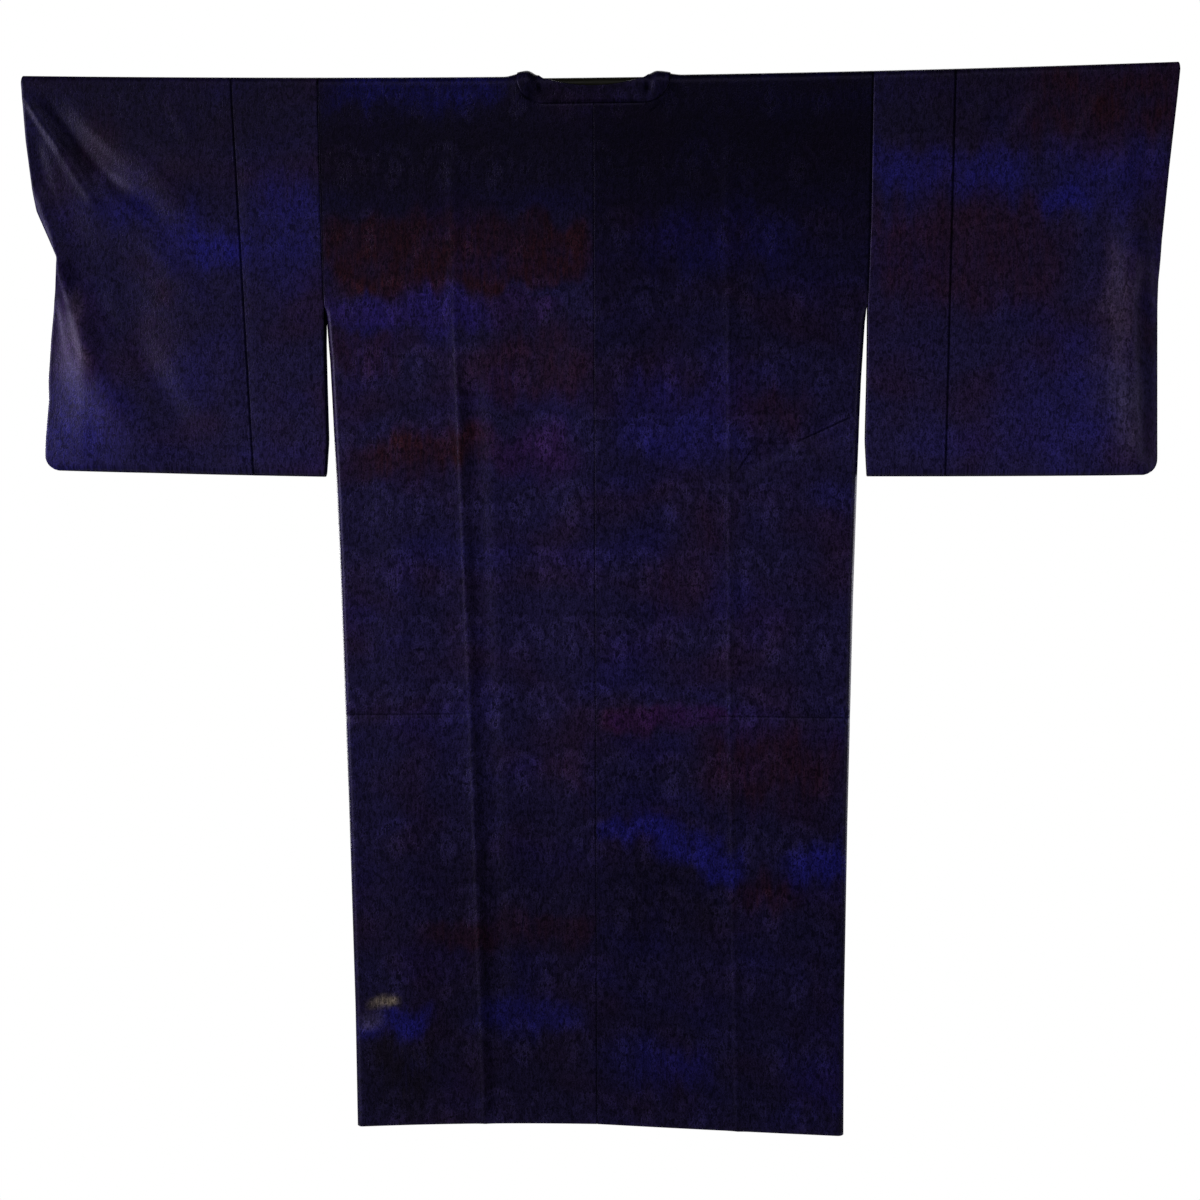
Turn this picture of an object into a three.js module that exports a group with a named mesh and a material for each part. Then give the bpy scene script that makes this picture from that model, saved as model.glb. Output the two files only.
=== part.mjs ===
// A michiyuki coat that hangs flat on a straight rod.
// Millimetres. The origin is the middle of the rod's axis, +X is the wearer's left,
// -Y the coat's front and +Z up. Every panel is a wall of cloth with its true hanging shape.
import * as THREE from 'three';

// ---- Driving dimensions ----
const ROD_RADIUS = 9;
const ROD_LEFT_END = 671.5;
const ROD_RIGHT_END = -666.5;
const ROD_BOW = 8;              // how far the loaded rod's ends stand above its middle
const ROD_TILT = 4.2;           // how much higher its left end is held
const ROD_HALF = 670;

const CLOTH = 1.6;              // silk and its lining
const COLLAR_CLOTH = 3;         // the collar band is folded double
const REST_GAP = 0.4;           // between the rod and the cloth on it
const SEAM_GAP = 0.3;

const COAT_DROP = 1199;         // from the rod's axis to the hem at the centre back
const HEM_HALF = 280;           // half width at which the hem's corners are measured
const HEM_LEFT_DROP = 9.5;      // the left side seam hangs this much lower, along a curve
const HEM_RIGHT_DROP = 10.3;    // and the right one along a slant
const FRONT_HEM_RISE = 3;
const UNDERARM = 253;           // where the sleeve leaves the body
const ARMHOLE_KINK = 160;       // where the sleeve seam starts to lean in
const SIDE_CLOSING = 28;        // height over which the armhole narrows into the side seam
const SIDE_ROUND = 7;           // how far the side seam's soft edge reaches in

const SLEEVE_DROP = 453.5;
const SLEEVE_SLANT = { left: -2.2, right: 4.2 };  // how much lower its bottom is at the cuff
const SLEEVE_SLANT_FROM = 315;  // distance from the centre where that starts
const SLEEVE_SLANT_SPAN = 325;
const SLEEVE_CORNER = 17;       // round outer corner of the sleeve
const SLEEVE_BOTTOM_ROUND = 6;
const CUFF_OPEN = 212;          // the hand's opening, measured from the rod's axis
const CUFF_CLOSING = 60;        // height over which its two walls come together below that
const CUFF_CLOSING_SHARE = 0.9; // they lie together from here out, as a share of the width

const COLLAR_BACK_SEAM = 22;    // drop of the seam under the collar at the centre back
const COLLAR_BACK_WIDTH = 19;
const COLLAR_BACK_RISE = 7.5;   // its upper edge is this much higher at the corners
const COLLAR_FRONT_WIDTH = 36;
const COLLAR_CORNER = 30;       // size of the neck cut's back corners
const NECK_BACK_HALF = 58;      // where the straight back of the neck cut ends
const NECK_FRONT_HALF = 102;    // neck cut at the front, and the overlap panels' seams
const NECK_INNER_HALF = 66;     // inner edge of the collar
const NECK_SHOULDER_HALF = 64;  // the same edge where it passes over the rod
const NECK_INNER_SHARE = 0.92;  // the collar's inner edge is this much shorter at the back
const NECK_STRAIGHT_DROP = 100; // below this the collar's front sides are straight
const NECK_FRONT_DROP = 187;    // lower edge of the collar's front bar
const OVERLAP_LIFT = 4.6;       // how far the left front lies outside the right one
const OVERLAP_LEFT_EDGE = -100; // free edge of the left overlap panel
const OVERLAP_RIGHT_EDGE = 97;

const BUTTON_RADIUS = 11;
const BUTTON_DEPTH = 6;
const BUTTON_X = -84;
const BUTTON_DROPS = { button_upper: 169, button_lower: 330 };

const BEARING = ROD_RADIUS + REST_GAP;
const QUARTER = BEARING * Math.PI / 2;   // cloth from the shoulder line to the rod's level

// ---- Outline and hang of the cloth ----
// Half width of the body, and the sleeve's inner edge, by drop below the rod's axis.
const BODY_SIDE = {
  left: [
    { drop: 0, x: 321 },
    { drop: ARMHOLE_KINK, x: 318 },
    { drop: 253, x: 314.5 },
    { drop: 290, x: 311.7 },
    { drop: 319, x: 309.3 },
    { drop: 365, x: 306.9 },
    { drop: 441, x: 303.2 },
    { drop: 539, x: 299 },
    { drop: 714, x: 293.1 },
    { drop: 831, x: 288.9 },
    { drop: 1064, x: 282.2 },
    { drop: 1199, x: 280 },
  ],
  right: [
    { drop: 0, x: 321 },
    { drop: ARMHOLE_KINK, x: 318 },
    { drop: 253, x: 313.8 },
    { drop: 275, x: 310.9 },
    { drop: 344, x: 306.1 },
    { drop: 441, x: 301.8 },
    { drop: 592, x: 296.1 },
    { drop: 847, x: 288.8 },
    { drop: 1056, x: 284.2 },
    { drop: 1199, x: 283 },
  ],
};
const SLEEVE_INNER = {
  left: [
    { drop: 0, x: 321 },
    { drop: ARMHOLE_KINK, x: 318 },
    { drop: 253, x: 314.5 },
    { drop: 300, x: 315 },
    { drop: 342, x: 314.1 },
    { drop: 412, x: 312.2 },
    { drop: 450, x: 314.6 },
  ],
  right: [
    { drop: 0, x: 321 },
    { drop: ARMHOLE_KINK, x: 318 },
    { drop: 253, x: 313.8 },
    { drop: 298, x: 313.4 },
    { drop: 344, x: 312.5 },
    { drop: 413, x: 310.5 },
    { drop: 450, x: 312.2 },
  ],
};
// Outer edge of each sleeve. The rod's end holds the top corner out, and the left one
// swings in below it.
const CUFF_EDGE = {
  left: [
    { drop: 0, x: 671.5 },
    { drop: 68, x: 666 },
    { drop: 125, x: 658.5 },
    { drop: 150, x: 653.5 },
    { drop: 172, x: 643.5 },
    { drop: 205, x: 627.5 },
    { drop: 222, x: 629 },
    { drop: 254, x: 635 },
    { drop: 300, x: 639.5 },
    { drop: 347, x: 642 },
    { drop: 371, x: 641.3 },
    { drop: 418, x: 645.5 },
    { drop: 454, x: 647 },
  ],
  right: [
    { drop: 0, x: 666 },
    { drop: 29, x: 662.9 },
    { drop: 111, x: 653.2 },
    { drop: 192, x: 644.7 },
    { drop: 235, x: 641.5 },
    { drop: 454, x: 640.6 },
  ],
};
// Half the depth between the front and back walls.
const BODY_DEPTH = [
  { drop: 0, y: BEARING },
  { drop: 40, y: BEARING },
  { drop: 320, y: 8.8 },
  { drop: 1199, y: 8 },
];
const SLEEVE_DEPTH = [
  { drop: 0, y: BEARING },
  { drop: 40, y: BEARING },
  { drop: 253, y: 9 },
  { drop: 400, y: 8.4 },
  { drop: 450, y: 7 },
];
// Creases from the folded store: lines that run down the cloth.
const BODY_CREASE = {
  left: [
    { drop: 0, x: 162 },
    { drop: 281, x: 161 },
    { drop: 709, x: 145 },
    { drop: 1199, x: 129 },
  ],
  right: [
    { drop: 0, x: 156 },
    { drop: 709, x: 155 },
    { drop: 1199, x: 162 },
  ],
};
const SLEEVE_CREASE = {
  left: [{ drop: 0, x: 424 }, { drop: 450, x: 399.5 }],
  right: [{ drop: 0, x: 413 }, { drop: 450, x: 400 }],
};
const BODY_CREASE_RISE = 2.4;
const BODY_CREASE_SPREAD = 18;
const SLEEVE_CREASE_RISE = -2.6;
const SLEEVE_CREASE_SPREAD = 15;
// Larger folds, as straight ridges (rise > 0, towards the back) and troughs.
const FOLDS = [
  { name: 'stored fold, left', x0: 157, drop0: 727, x1: 300, drop1: 727, rise: -1.8, spread: 12 },
  { name: 'stored fold, right', x0: -137, drop0: 727, x1: -300, drop1: 727, rise: -1.8, spread: 12 },
  { name: 'underarm wrinkle', x0: -298, drop0: 385, x1: -165, drop1: 446, rise: -4, spread: 26 },
  { name: 'cuff ridge', x0: 664, drop0: 4, x1: 617, drop1: 78, rise: 4, spread: 16 },
  { name: 'cuff trough', x0: 650, drop0: 12, x1: 558, drop1: 122, rise: -5, spread: 26 },
  { name: 'sleeve ridge', x0: 618, drop0: 6, x1: 470, drop1: 135, rise: 6, spread: 42 },
  { name: 'cuff hollow', x0: 640, drop0: 95, x1: 592, drop1: 200, rise: -4, spread: 26 },
  { name: 'rolled edge, upper', x0: 648, drop0: 130, x1: 629, drop1: 194, rise: 4, spread: 13 },
  { name: 'rolled edge, middle', x0: 629, drop0: 194, x1: 612, drop1: 272, rise: 6, spread: 20 },
  { name: 'rolled edge, lower', x0: 612, drop0: 272, x1: 590, drop1: 330, rise: 5, spread: 24 },
  { name: 'sleeve hollow', x0: 560, drop0: 215, x1: 520, drop1: 330, rise: -4, spread: 60 },
  { name: 'low sleeve ridge', x0: 600, drop0: 360, x1: 540, drop1: 430, rise: 4, spread: 50 },
  { name: 'right sleeve ridge', x0: -600, drop0: 120, x1: -590, drop1: 400, rise: 3, spread: 60 },
  { name: 'body hollow, left', x0: 70, drop0: 260, x1: 66, drop1: 1150, rise: -2.2, spread: 60 },
  { name: 'body hollow, right', x0: -78, drop0: 200, x1: -82, drop1: 1100, rise: -2, spread: 60 },
  { name: 'body swell, left', x0: 225, drop0: 420, x1: 215, drop1: 1150, rise: 1.8, spread: 50 },
  { name: 'body swell, right', x0: -225, drop0: 520, x1: -228, drop1: 1150, rise: 1.8, spread: 50 },
];

// ---- Small mathematics ----
function smoothstep(t) {
  const c = Math.min(1, Math.max(0, t));
  return c * c * (3 - 2 * c);
}

function lerp(a, b, t) {
  return a + (b - a) * t;
}

// Looks up a table whose rows are sorted by drop.
function atDrop(table, drop, column) {
  if (drop <= table[0].drop) return table[0][column];
  for (let row = 1; row < table.length; row += 1) {
    const above = table[row - 1];
    const below = table[row];
    if (drop <= below.drop) {
      const t = (drop - above.drop) / (below.drop - above.drop);
      return lerp(above[column], below[column], t);
    }
  }
  return table[table.length - 1][column];
}

// Evenly spaced values through a list of { to, steps } spans.
function spaced(from, spans) {
  const values = [from];
  let start = from;
  for (const span of spans) {
    for (let k = 1; k <= span.steps; k += 1) {
      values.push(lerp(start, span.to, k / span.steps));
    }
    start = span.to;
  }
  return values;
}

function rodRise(x) {
  const t = x / ROD_HALF;
  return ROD_BOW * t ** 2 + ROD_TILT * t;
}

function sideOf(x) {
  return x >= 0 ? 'left' : 'right';
}

// Height of one straight fold at a place: full on its line, soft to both sides.
function foldRise(fold, x, drop) {
  const dx = fold.x1 - fold.x0;
  const dd = fold.drop1 - fold.drop0;
  const length = Math.hypot(dx, dd);
  const along = ((x - fold.x0) * dx + (drop - fold.drop0) * dd) / length;
  const off = Math.abs((x - fold.x0) * dd - (drop - fold.drop0) * dx) / length;
  const ends = smoothstep((along + fold.spread) / (2 * fold.spread))
    * smoothstep((length - along + fold.spread) / (2 * fold.spread));
  return fold.rise * ends * smoothstep(1 - off / fold.spread);
}

// How far both walls of the cloth stand towards the back at a place.
function hangRelief(x, drop) {
  const side = sideOf(x);
  const onSleeve = Math.abs(x) > atDrop(BODY_SIDE[side], drop, 'x');
  const crease = onSleeve ? SLEEVE_CREASE : BODY_CREASE;
  const rise = onSleeve ? SLEEVE_CREASE_RISE : BODY_CREASE_RISE;
  const spread = onSleeve ? SLEEVE_CREASE_SPREAD : BODY_CREASE_SPREAD;
  const off = Math.abs(Math.abs(x) - atDrop(crease[side], drop, 'x'));
  let sum = rise * smoothstep(1 - off / spread);
  for (const fold of FOLDS) {
    sum += foldRise(fold, x, drop);
  }
  return sum * smoothstep((drop - 20) / 90);
}

// The soft roll where the collar passes over the rod, by place across the shoulder.
const ROLL = {
  left: { x: 77, rise: 5.2, outward: 28, inward: 12, along: 46 },
  right: { x: 73, rise: 3.4, outward: 30, inward: 9, along: 46 },
};
function shoulderRoll(x, s) {
  const roll = ROLL[sideOf(x)];
  const off = Math.abs(x) - roll.x;
  const t = off > 0 ? off / roll.outward : -off / roll.inward;
  return roll.rise * smoothstep(1 - t) * smoothstep(1 - Math.abs(s) / roll.along);
}

// A point of hanging cloth. s runs along the cloth from the shoulder line, down the back
// where it is positive; out is the distance of the wall's middle from what it bears on.
function drape(x, s, out, depthTable) {
  const front = s < 0 ? -1 : 1;
  const raised = out + shoulderRoll(x, s);
  if (Math.abs(s) <= QUARTER) {
    const angle = s / BEARING;
    const reach = BEARING + raised;
    return new THREE.Vector3(x, reach * Math.sin(angle), reach * Math.cos(angle) + rodRise(x));
  }
  const drop = Math.abs(s) - QUARTER;
  const y = front * (atDrop(depthTable, drop, 'y') + raised) + hangRelief(x, drop);
  return new THREE.Vector3(x, y, rodRise(x) - drop);
}

function dropOf(s) {
  return Math.abs(s) <= QUARTER ? 0 : Math.abs(s) - QUARTER;
}

// Cloth length at a drop, down the back (+1) or the front (-1).
function lengthAt(drop, face) {
  return face * (QUARTER + drop);
}

// ---- A wall of cloth from its middle surface ----
// middle(u, v) gives the middle surface, us and vs the grid's places. keep(i, j) tells
// which cells are cloth, and a ring closes on itself along v.
function clothWall({ name, us, vs, middle, thickness, material, keep = () => true, ring = false }) {
  const columns = us.length;
  const rows = vs.length;
  const cellsAlong = ring ? rows : rows - 1;
  const held = (i, j) => {
    if (i < 0 || i >= columns - 1) return false;
    if (!ring && (j < 0 || j >= cellsAlong)) return false;
    return keep(i, (j + cellsAlong) % cellsAlong);
  };
  const step = 0.004;
  const positions = [];
  const places = new Map();
  const vertex = (i, j) => {
    const row = j % rows;
    const key = row * columns + i;
    if (!places.has(key)) {
      const along = middle(us[i], vs[row] + step).sub(middle(us[i], vs[row] - step));
      const across = middle(us[i] + step, vs[row]).sub(middle(us[i] - step, vs[row]));
      const normal = across.cross(along).normalize().multiplyScalar(thickness / 2);
      const centre = middle(us[i], vs[row]);
      places.set(key, positions.length / 3);
      positions.push(...centre.clone().add(normal).toArray());
      positions.push(...centre.clone().sub(normal).toArray());
    }
    return places.get(key);
  };
  const triangles = [];
  const quad = (a, b, c, d) => {
    triangles.push(a, b, c, a, c, d);
  };
  for (let j = 0; j < cellsAlong; j += 1) {
    for (let i = 0; i < columns - 1; i += 1) {
      if (!held(i, j)) continue;
      const a = vertex(i, j);
      const b = vertex(i + 1, j);
      const c = vertex(i + 1, j + 1);
      const d = vertex(i, j + 1);
      quad(a, b, c, d);
      quad(a + 1, d + 1, c + 1, b + 1);
      if (!held(i, j - 1)) quad(a, a + 1, b + 1, b);
      if (!held(i, j + 1)) quad(c, c + 1, d + 1, d);
      if (!held(i - 1, j)) quad(d, d + 1, a + 1, a);
      if (!held(i + 1, j)) quad(b, b + 1, c + 1, c);
    }
  }
  return solid(name, positions, triangles, material);
}

// A closed mesh whose faces point out, whichever way its grid was wound.
function solid(name, positions, triangles, material) {
  const corner = (k) => new THREE.Vector3().fromArray(positions, 3 * triangles[k]);
  let volume = 0;
  for (let k = 0; k < triangles.length; k += 3) {
    volume += corner(k).dot(corner(k + 1).cross(corner(k + 2)));
  }
  if (volume < 0) triangles.reverse();
  const geometry = new THREE.BufferGeometry();
  geometry.setAttribute('position', new THREE.Float32BufferAttribute(positions, 3));
  geometry.setIndex(triangles);
  geometry.computeVertexNormals();
  const mesh = new THREE.Mesh(geometry, material);
  mesh.name = name;
  return mesh;
}

// ---- Materials ----
const silk = new THREE.MeshStandardMaterial({ color: 0x17132e, roughness: 0.55, metalness: 0 });
const rodPaint = new THREE.MeshStandardMaterial({ color: 0x0c0c08, roughness: 0.4, metalness: 0 });

// ---- The rod ----
function hangingRod() {
  const sides = 20;
  const stations = 13;
  const positions = [];
  const triangles = [];
  for (let k = 0; k < stations; k += 1) {
    const x = lerp(ROD_RIGHT_END, ROD_LEFT_END, k / (stations - 1));
    for (let side = 0; side < sides; side += 1) {
      const angle = 2 * Math.PI * side / sides;
      positions.push(x, ROD_RADIUS * Math.sin(angle), ROD_RADIUS * Math.cos(angle) + rodRise(x));
    }
  }
  for (let k = 0; k < stations - 1; k += 1) {
    for (let side = 0; side < sides; side += 1) {
      const a = k * sides + side;
      const b = k * sides + (side + 1) % sides;
      triangles.push(a, b, b + sides, a, b + sides, a + sides);
    }
  }
  for (let side = 1; side < sides - 1; side += 1) {
    const last = (stations - 1) * sides;
    triangles.push(0, side + 1, side);
    triangles.push(last, last + side, last + side + 1);
  }
  return solid('hanging_rod', positions, triangles, rodPaint);
}

// ---- The neck cut, shared by the body panels and the collar ----
const NECK_BACK_POINTS = 4;       // the points along the straight back of the cut
const NECK_CORNER_STEPS = [{ to: 54, steps: 3 }, { to: 90, steps: 4 }];  // in degrees

// Sewn edge of one half of the neck, from the centre back to the front: x and the cloth
// length s, with the inner edge of the collar beside it.
function neckPath() {
  const backS = lengthAt(COLLAR_BACK_SEAM, 1);
  const innerBackS = backS - COLLAR_BACK_WIDTH;
  const points = [];
  for (const share of spaced(0, [{ to: 1, steps: NECK_BACK_POINTS - 1 }])) {
    points.push({
      x: NECK_BACK_HALF * share,
      s: backS,
      innerX: NECK_BACK_HALF * share * NECK_INNER_SHARE,
      innerS: innerBackS - COLLAR_BACK_RISE * share ** 2,
    });
  }
  for (const degrees of spaced(0, NECK_CORNER_STEPS).slice(1)) {
    const turn = THREE.MathUtils.degToRad(degrees);
    points.push({
      x: NECK_BACK_HALF + COLLAR_CORNER * Math.sin(turn),
      s: backS - COLLAR_CORNER * (1 - Math.cos(turn)),
      innerX: lerp(NECK_BACK_HALF * NECK_INNER_SHARE, NECK_SHOULDER_HALF, Math.sin(turn)),
      innerS: (innerBackS - COLLAR_BACK_RISE) * Math.cos(turn),
    });
  }
  const shoulderX = NECK_BACK_HALF + COLLAR_CORNER;
  const cornerS = backS - COLLAR_CORNER;
  const straightS = lengthAt(NECK_STRAIGHT_DROP, -1);
  const frontSpans = [{ to: -QUARTER, steps: 6 }, { to: straightS, steps: 4 }];
  for (const s of spaced(cornerS, frontSpans).slice(1)) {
    const t = smoothstep((cornerS - s) / (cornerS - straightS));
    points.push({
      x: lerp(shoulderX, NECK_FRONT_HALF, t),
      s,
      innerX: lerp(NECK_SHOULDER_HALF, NECK_INNER_HALF, t),
      innerS: s - cornerS * (1 - t),
    });
  }
  const barBottom = lengthAt(NECK_FRONT_DROP, -1);
  const barTop = lengthAt(NECK_FRONT_DROP - COLLAR_FRONT_WIDTH, -1);
  for (const s of spaced(straightS, [{ to: barBottom, steps: 3 }]).slice(1)) {
    const t = (s - straightS) / (barBottom - straightS);
    points.push({
      x: NECK_FRONT_HALF,
      s,
      innerX: NECK_INNER_HALF,
      innerS: lerp(straightS, barTop, t),
    });
  }
  return points;
}

const NECK = neckPath();

// x of the neck cut or of the overlap panel's seam at a cloth length.
function neckEdge(s) {
  const path = NECK.slice(NECK_BACK_POINTS - 1);
  if (s >= path[0].s) return NECK_BACK_HALF;
  for (let k = 1; k < path.length; k += 1) {
    if (s >= path[k].s) {
      return lerp(path[k - 1].x, path[k].x, (path[k - 1].s - s) / (path[k - 1].s - path[k].s));
    }
  }
  return NECK_FRONT_HALF;
}

// The left front lies outside the right one.
function frontLift(s) {
  return s > 0 ? 0 : OVERLAP_LIFT * smoothstep((dropOf(s) - 15) / 110);
}

// The cloth hangs lower towards the hem's corners.
function hemShare(x, drop) {
  const t = Math.abs(x) / HEM_HALF;
  const corner = x >= 0 ? HEM_LEFT_DROP * t ** 2 : HEM_RIGHT_DROP * t;
  return corner * (drop / COAT_DROP) ** 2;
}

// ---- The body panels ----
// u runs across: 0 to 1 from the centre back to the neck edge's line, 1 to 1.5 to the
// stored crease, 1.5 to 2 to the side, and 2 to 3 round the side seam.
function bodyPoint(hand, u, s) {
  const drop = dropOf(s);
  const side = hand > 0 ? 'left' : 'right';
  const neck = neckEdge(s);
  const narrow = CLOTH / 2 * smoothstep((drop - (UNDERARM - 15)) / 15);
  const edge = atDrop(BODY_SIDE[side], drop, 'x') - narrow;
  const round = edge - SIDE_ROUND;
  const crease = atDrop(BODY_CREASE[side], drop, 'x');
  const turn = Math.PI / 2 * Math.min(1, Math.max(0, u - 2));
  let x;
  if (u <= 1) x = lerp(SEAM_GAP / 2, neck, u);
  else if (u <= 1.5) x = lerp(neck, crease, (u - 1) * 2);
  else if (u <= 2) x = lerp(crease, round, (u - 1.5) * 2);
  else x = lerp(round, edge, u - 2);
  const closing = u > 2 ? smoothstep((drop - UNDERARM) / SIDE_CLOSING) : 0;
  if (u > 2) x = lerp(x, round + SIDE_ROUND * Math.sin(turn), closing);
  const lift = hand > 0 ? frontLift(s) : 0;
  const point = drape(hand * x, s, CLOTH / 2 + lift, BODY_DEPTH);
  if (closing > 0) {
    const middle = hangRelief(hand * x, drop);
    const seam = middle + Math.sign(s) * SEAM_GAP / 2 - (hand > 0 ? OVERLAP_LIFT / 2 : 0);
    const inward = lerp(seam, point.y, Math.cos(turn));
    point.y = lerp(point.y, inward, closing);
  }
  point.z -= hemShare(hand * x, drop);
  return point;
}

function bodyPanel(hand, name) {
  const us = [0, 0.34, 0.67, 1, 1.22, 1.4, 1.5, 1.6, 1.78, 2, 2.3, 2.62, 3];
  const bandRows = [
    { to: 740, steps: 6 },
    { to: 714, steps: 2 },
    { to: 480, steps: 4 },
    { to: UNDERARM + SIDE_CLOSING, steps: 4 },
    { to: UNDERARM - 15, steps: 4 },
  ];
  const backSpans = [{ to: ARMHOLE_KINK, steps: 2 }, { to: COLLAR_BACK_SEAM, steps: 3 }];
  const backDrops = spaced(COAT_DROP, [...bandRows, ...backSpans]);
  const backRows = backDrops.map((drop) => lengthAt(drop, 1));
  const neckRows = NECK.slice(NECK_BACK_POINTS).map((point) => point.s);
  const frontDrops = spaced(COAT_DROP - FRONT_HEM_RISE, bandRows).reverse();
  const frontRows = frontDrops.map((drop) => lengthAt(drop, -1));
  const vs = [...backRows, ...neckRows, ...frontRows];
  const neckRow = backRows.length - 1;
  const neckColumn = 3;
  return clothWall({
    name,
    us,
    vs,
    middle: (u, v) => bodyPoint(hand, u, v),
    thickness: CLOTH,
    material: silk,
    keep: (i, j) => j < neckRow || i >= neckColumn,
  });
}

// ---- The sleeves ----
// f runs from the body to the cuff. v runs round the sleeve in cloth length from the
// shoulder line, and past the lower ends of both walls round the bottom fold.
const SLEEVE_LENGTH = QUARTER + SLEEVE_DROP - SLEEVE_BOTTOM_ROUND;
const SLEEVE_RING = 2 * SLEEVE_LENGTH + 2;

function cuffX(side, drop) {
  const over = Math.max(0, drop - (SLEEVE_DROP - SLEEVE_CORNER));
  const inset = SLEEVE_CORNER - Math.sqrt(Math.max(0, SLEEVE_CORNER ** 2 - over ** 2));
  return atDrop(CUFF_EDGE[side], drop, 'x') - inset;
}

function sleeveX(side, f, drop) {
  const inner = atDrop(SLEEVE_INNER[side], drop, 'x') + SEAM_GAP;
  const crease = atDrop(SLEEVE_CREASE[side], drop, 'x');
  if (f <= 0.5) return lerp(inner, crease, f * 2);
  return lerp(crease, cuffX(side, drop), f * 2 - 1);
}

function sleevePoint(hand, f, v) {
  const side = hand > 0 ? 'left' : 'right';
  const place = v < -SLEEVE_LENGTH ? v + SLEEVE_RING : v;
  const fromArc = (Math.min(Math.abs(place), SLEEVE_LENGTH) - QUARTER) / (SLEEVE_LENGTH - QUARTER);
  const share = Math.max(0, fromArc);
  const belowCuff = share * SLEEVE_DROP - CUFF_OPEN;
  const shut = smoothstep(belowCuff / CUFF_CLOSING)
    * smoothstep((f - CUFF_CLOSING_SHARE) / (1 - CUFF_CLOSING_SHARE));
  const flat = (CLOTH + SEAM_GAP) / 2;
  const round = lerp(SLEEVE_BOTTOM_ROUND, flat, shut);
  const wallDrop = SLEEVE_DROP - round;
  if (Math.abs(place) <= QUARTER) {
    return drape(hand * sleeveX(side, f, 0), place, CLOTH / 2, SLEEVE_DEPTH);
  }
  const turn = place > SLEEVE_LENGTH ? Math.PI * (place - SLEEVE_LENGTH) / 2 : 0;
  const drop = place > SLEEVE_LENGTH ? wallDrop + round * Math.sin(turn) : wallDrop * share;
  const x = hand * sleeveX(side, f, drop);
  const depth = lerp(atDrop(SLEEVE_DEPTH, drop, 'y') + CLOTH / 2, flat, shut);
  const face = place > SLEEVE_LENGTH ? Math.cos(turn) : Math.sign(place);
  const outward = (Math.abs(x) - SLEEVE_SLANT_FROM) / SLEEVE_SLANT_SPAN;
  const stretch = 1 + SLEEVE_SLANT[side] * outward / SLEEVE_DROP;
  return new THREE.Vector3(x, face * depth + hangRelief(x, drop), rodRise(x) - drop * stretch);
}

function sleeve(hand, name, us) {
  const down = spaced(QUARTER, [
    { to: QUARTER + ARMHOLE_KINK, steps: 4 },
    { to: QUARTER + CUFF_OPEN, steps: 2 },
    { to: QUARTER + CUFF_OPEN + 30, steps: 2 },
    { to: SLEEVE_LENGTH - 12, steps: 5 },
    { to: SLEEVE_LENGTH, steps: 1 },
  ]);
  const arc = spaced(-QUARTER, [{ to: QUARTER, steps: 8 }]).slice(1, -1);
  const bottom = spaced(SLEEVE_LENGTH, [{ to: SLEEVE_LENGTH + 2, steps: 5 }]).slice(1, -1);
  const front = down.map((v) => -v).reverse();
  return clothWall({
    name,
    us,
    vs: [...front, ...arc, ...down, ...bottom],
    middle: (f, v) => sleevePoint(hand, f, v),
    thickness: CLOTH,
    material: silk,
    ring: true,
  });
}

// ---- The front overlap panels ----
function overlapPanel(hand, name) {
  const seam = hand * (NECK_FRONT_HALF - SEAM_GAP);
  const free = hand > 0 ? OVERLAP_LEFT_EDGE : OVERLAP_RIGHT_EDGE;
  const lift = hand > 0 ? OVERLAP_LIFT : 0;
  const drops = spaced(NECK_FRONT_DROP + SEAM_GAP, [
    { to: 480, steps: 4 },
    { to: 714, steps: 3 },
    { to: 740, steps: 2 },
    { to: COAT_DROP - FRONT_HEM_RISE, steps: 5 },
  ]);
  return clothWall({
    name,
    us: spaced(0, [{ to: 1, steps: 5 }]),
    vs: drops.map((drop) => lengthAt(drop, -1)),
    middle: (u, v) => {
      const x = lerp(seam, free, u);
      const point = drape(x, v, CLOTH / 2 + lift, BODY_DEPTH);
      point.z -= hemShare(x, dropOf(v));
      return point;
    },
    thickness: CLOTH,
    material: silk,
  });
}

// ---- The collar ----
// One folded band: along the left front bar, up over the left shoulder, round the back of
// the neck, down the right side and along the right front bar, which lies underneath.
function collarRows() {
  const half = (hand) => NECK.map((point) => ({
    x: hand * point.x,
    s: point.s,
    innerX: hand * point.innerX,
    innerS: point.innerS,
    lift: hand > 0 ? frontLift(point.s) : 0,
  }));
  const bar = (hand, freeEdge) => spaced(hand * NECK_INNER_HALF, [{ to: freeEdge, steps: 5 }])
    .map((x) => ({
      x,
      s: lengthAt(NECK_FRONT_DROP, -1),
      innerX: x,
      innerS: lengthAt(NECK_FRONT_DROP - COLLAR_FRONT_WIDTH, -1),
      lift: hand > 0 ? OVERLAP_LIFT : 0,
    })).slice(1);
  return [
    ...bar(1, OVERLAP_LEFT_EDGE).reverse(),
    ...half(1).reverse(),
    ...half(-1).slice(1),
    ...bar(-1, OVERLAP_RIGHT_EDGE),
  ];
}

function collar() {
  const rows = collarRows();
  const middle = (u, v) => {
    const last = rows.length - 1;
    const k = Math.min(last - 1, Math.max(0, Math.floor(v)));
    const t = v - k;
    const mix = (column) => lerp(rows[k][column], rows[k + 1][column], t);
    const width = Math.hypot(mix('innerX') - mix('x'), mix('innerS') - mix('s'));
    const across = lerp(SEAM_GAP / width, 1, u);
    const x = lerp(mix('x'), mix('innerX'), across);
    const s = lerp(mix('s'), mix('innerS'), across);
    return drape(x, s, COLLAR_CLOTH / 2 + mix('lift'), BODY_DEPTH);
  };
  return clothWall({
    name: 'collar',
    us: [0, 0.28, 0.5, 0.64, 0.76, 0.88, 1],
    vs: rows.map((row, k) => k),
    middle,
    thickness: COLLAR_CLOTH,
    material: silk,
  });
}

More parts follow.
